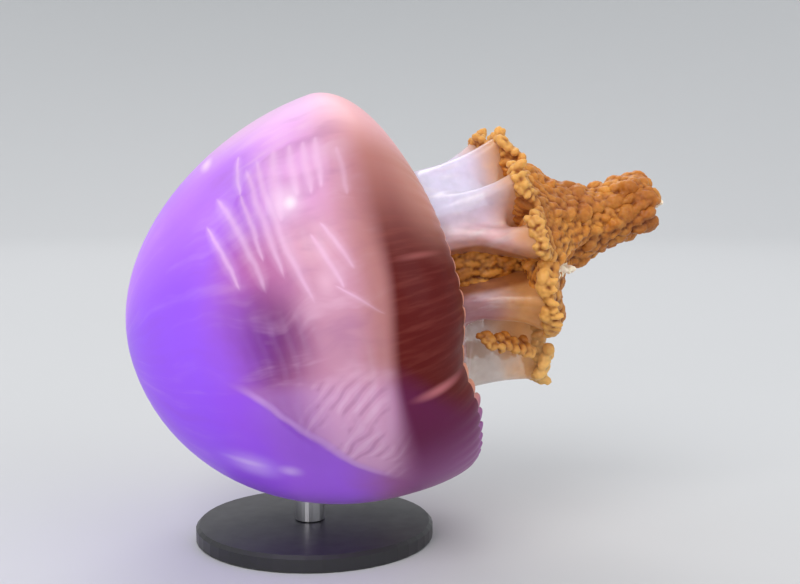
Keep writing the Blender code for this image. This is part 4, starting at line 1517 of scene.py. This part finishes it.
@dataclass
class JellyModel:
    """The whole animal: one skin, and the mouth frills on it."""

    bell: BellSkin = field(default_factory=BellSkin)
    middle: MiddleBody = field(default_factory=MiddleBody)
    frills: MouthFrills = field(default_factory=MouthFrills)

    def skin(self) -> bpy.types.Object:
        """Builds the one skin of the bell, stomach and arms.

        Returns:
            The skin.
        """
        bm = self.bell.build()
        first = len(bm.faces)
        add_part(bm, self.middle.build())
        bm.faces.ensure_lookup_table()
        for face in bm.faces[first:]:
            face.material_index = SkinPart.ARMS.value
        bmesh.ops.transform(bm, matrix=POSE.matrix(), verts=bm.verts)
        log.info("bell %d faces, middle body %d faces", first, len(bm.faces) - first)
        finishes = [BellOutside().build(), BellInside().build(), RimFlesh().build(), ArmFlesh().build()]
        skin = finish_mesh("jelly_skin", bm, finishes)
        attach(skin, "root")
        nodes = ["bell_dome", "bell_margin", "bell_lappets", "arm_disc"]
        nodes += ["stomach_pillar_%d" % (number + 1) for number in range(self.middle.pillars)]
        nodes += ["arm_%d" % (number + 1) for number in range(len(self.middle.plan.arms))]
        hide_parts(*nodes)
        return skin

    def folds(self) -> list[bpy.types.Object]:
        """Builds the frills of each arm and of the mouth.

        Returns:
            The pieces.
        """
        finish = FrillFlesh().build()
        pieces = []
        for number in range(len(self.frills.plan.arms)):
            bm = self.frills.arm(number)
            bmesh.ops.transform(bm, matrix=POSE.matrix(), verts=bm.verts)
            piece = finish_mesh("frills_of_arm_%d" % (number + 1), bm, [finish])
            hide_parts("arm_%d_frill" % (number + 1))
            pieces.append(piece)
        bm = self.frills.mouth()
        bmesh.ops.transform(bm, matrix=POSE.matrix(), verts=bm.verts)
        core = finish_mesh("frills_of_mouth", bm, [finish])
        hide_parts("mouth_core")
        pieces.append(core)
        for piece in pieces:
            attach(piece, "root")
            log.info("%s %d faces", piece.name, len(piece.data.polygons))
        return pieces


@dataclass
class Stand:
    """The display stand, whose solids are kept and given better finishes."""

    base: StandFinish = StandFinish("satin_black", (0.018, 0.018, 0.020, 1.0), 0.38, 0.0)
    rod: StandFinish = StandFinish("brushed_rod", (0.62, 0.62, 0.64, 1.0), 0.30, 1.0)

    def dress(self) -> None:
        """Puts the finishes on the base and the rod."""
        for node, finish in (("stand_base", self.base), ("stand_rod", self.rod)):
            mat = finish.build()
            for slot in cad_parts[node].material_slots:
                slot.material = mat
            log.info("%s dressed", node)


@dataclass
class Studio:
    """Floor, soft lights and the camera."""

    camera_at: tuple[float, float, float] = (0.0260, -0.3334, 0.1039)
    elevation: float = math.radians(5.0)
    lens: float = 50.0
    sensor: float = 36.0
    aim: tuple[float, float, float] = (0.0, 0.0, 0.07)
    flat: float = 2.4
    bend: float = 2.6

    def floor(self) -> None:
        """Lays a plain pale floor that sweeps up all round."""
        bm = bmesh.new()
        steps = 24
        verts = [bm.verts.new((0.0, 0.0, 0.0)), bm.verts.new((self.flat, 0.0, 0.0))]
        for step in range(1, steps + 1):
            angle = 0.5 * math.pi * step / steps
            verts.append(bm.verts.new((self.flat + self.bend * math.sin(angle), 0.0,
                                       self.bend * (1.0 - math.cos(angle)))))
        edges = [bm.edges.new(pair) for pair in zip(verts, verts[1:])]
        bmesh.ops.spin(bm, geom=verts + edges, cent=(0.0, 0.0, 0.0), axis=(0.0, 0.0, 1.0),
                       angle=2.0 * math.pi, steps=96, use_merge=True)
        bmesh.ops.remove_doubles(bm, verts=bm.verts, dist=0.00001)
        bmesh.ops.recalc_face_normals(bm, faces=bm.faces)
        finish_mesh("floor", bm, [self.paint()])

    def paint(self) -> bpy.types.Material:
        """Returns the plain pale finish of the floor."""
        mat = bpy.data.materials.new("floor_paint")
        mat.use_nodes = True
        shader = mat.node_tree.nodes["Principled BSDF"]
        shader.inputs["Base Color"].default_value = (0.60, 0.61, 0.62, 1.0)
        shader.inputs["Roughness"].default_value = 0.85
        shader.inputs["Specular IOR Level"].default_value = 0.1
        return mat

    def lamp(self, name: str, place: tuple[float, float, float], size: float, power: float,
             colour: tuple[float, float, float]) -> None:
        """Hangs one soft round light, aimed at the bell.

        Args:
            name: The light's name.
            place: Where it hangs.
            size: Its diameter.
            power: Watts.
            colour: Its tint.
        """
        data = bpy.data.lights.new(name, "AREA")
        data.shape = "DISK"
        data.size = size
        data.energy = power
        data.color = colour
        lamp = bpy.data.objects.new(name, data)
        bpy.context.scene.collection.objects.link(lamp)
        lamp.location = place
        aim = Vector(self.aim) - Vector(place)
        lamp.rotation_euler = aim.to_track_quat("-Z", "Y").to_euler()

    def build(self) -> None:
        """Sets up the studio."""
        self.floor()
        self.lamp("key", (-1.10, -2.60, 2.60), 2.4, 60.0, (1.0, 0.98, 0.96))
        self.lamp("fill", (3.00, -2.00, 1.30), 2.4, 23.0, (0.96, 0.97, 1.0))
        self.lamp("low", (-0.60, -1.60, 0.25), 1.0, 6.0, (1.0, 0.96, 1.0))
        self.lamp("rim", (-0.20, 2.20, 2.80), 2.2, 32.0, (1.0, 0.97, 0.98))
        world = bpy.data.worlds.new("studio")
        bpy.context.scene.world = world
        world.use_nodes = True
        world.node_tree.nodes["Background"].inputs[0].default_value = (0.92, 0.94, 0.96, 1.0)
        world.node_tree.nodes["Background"].inputs[1].default_value = 0.80
        data = bpy.data.cameras.new("camera")
        data.lens = self.lens
        data.sensor_width = self.sensor
        camera = bpy.data.objects.new("camera", data)
        bpy.context.scene.collection.objects.link(camera)
        camera.location = self.camera_at
        camera.rotation_euler = (math.radians(90.0) - self.elevation, 0.0, 0.0)
        bpy.context.scene.camera = camera
        bpy.context.scene.view_settings.view_transform = "Standard"


def main() -> None:
    """Builds the looks in order."""
    model = JellyModel()
    model.skin()
    model.folds()
    Stand().dress()
    Studio().build()
    log.info("sizes written")


if __name__ == "__main__":
    main()
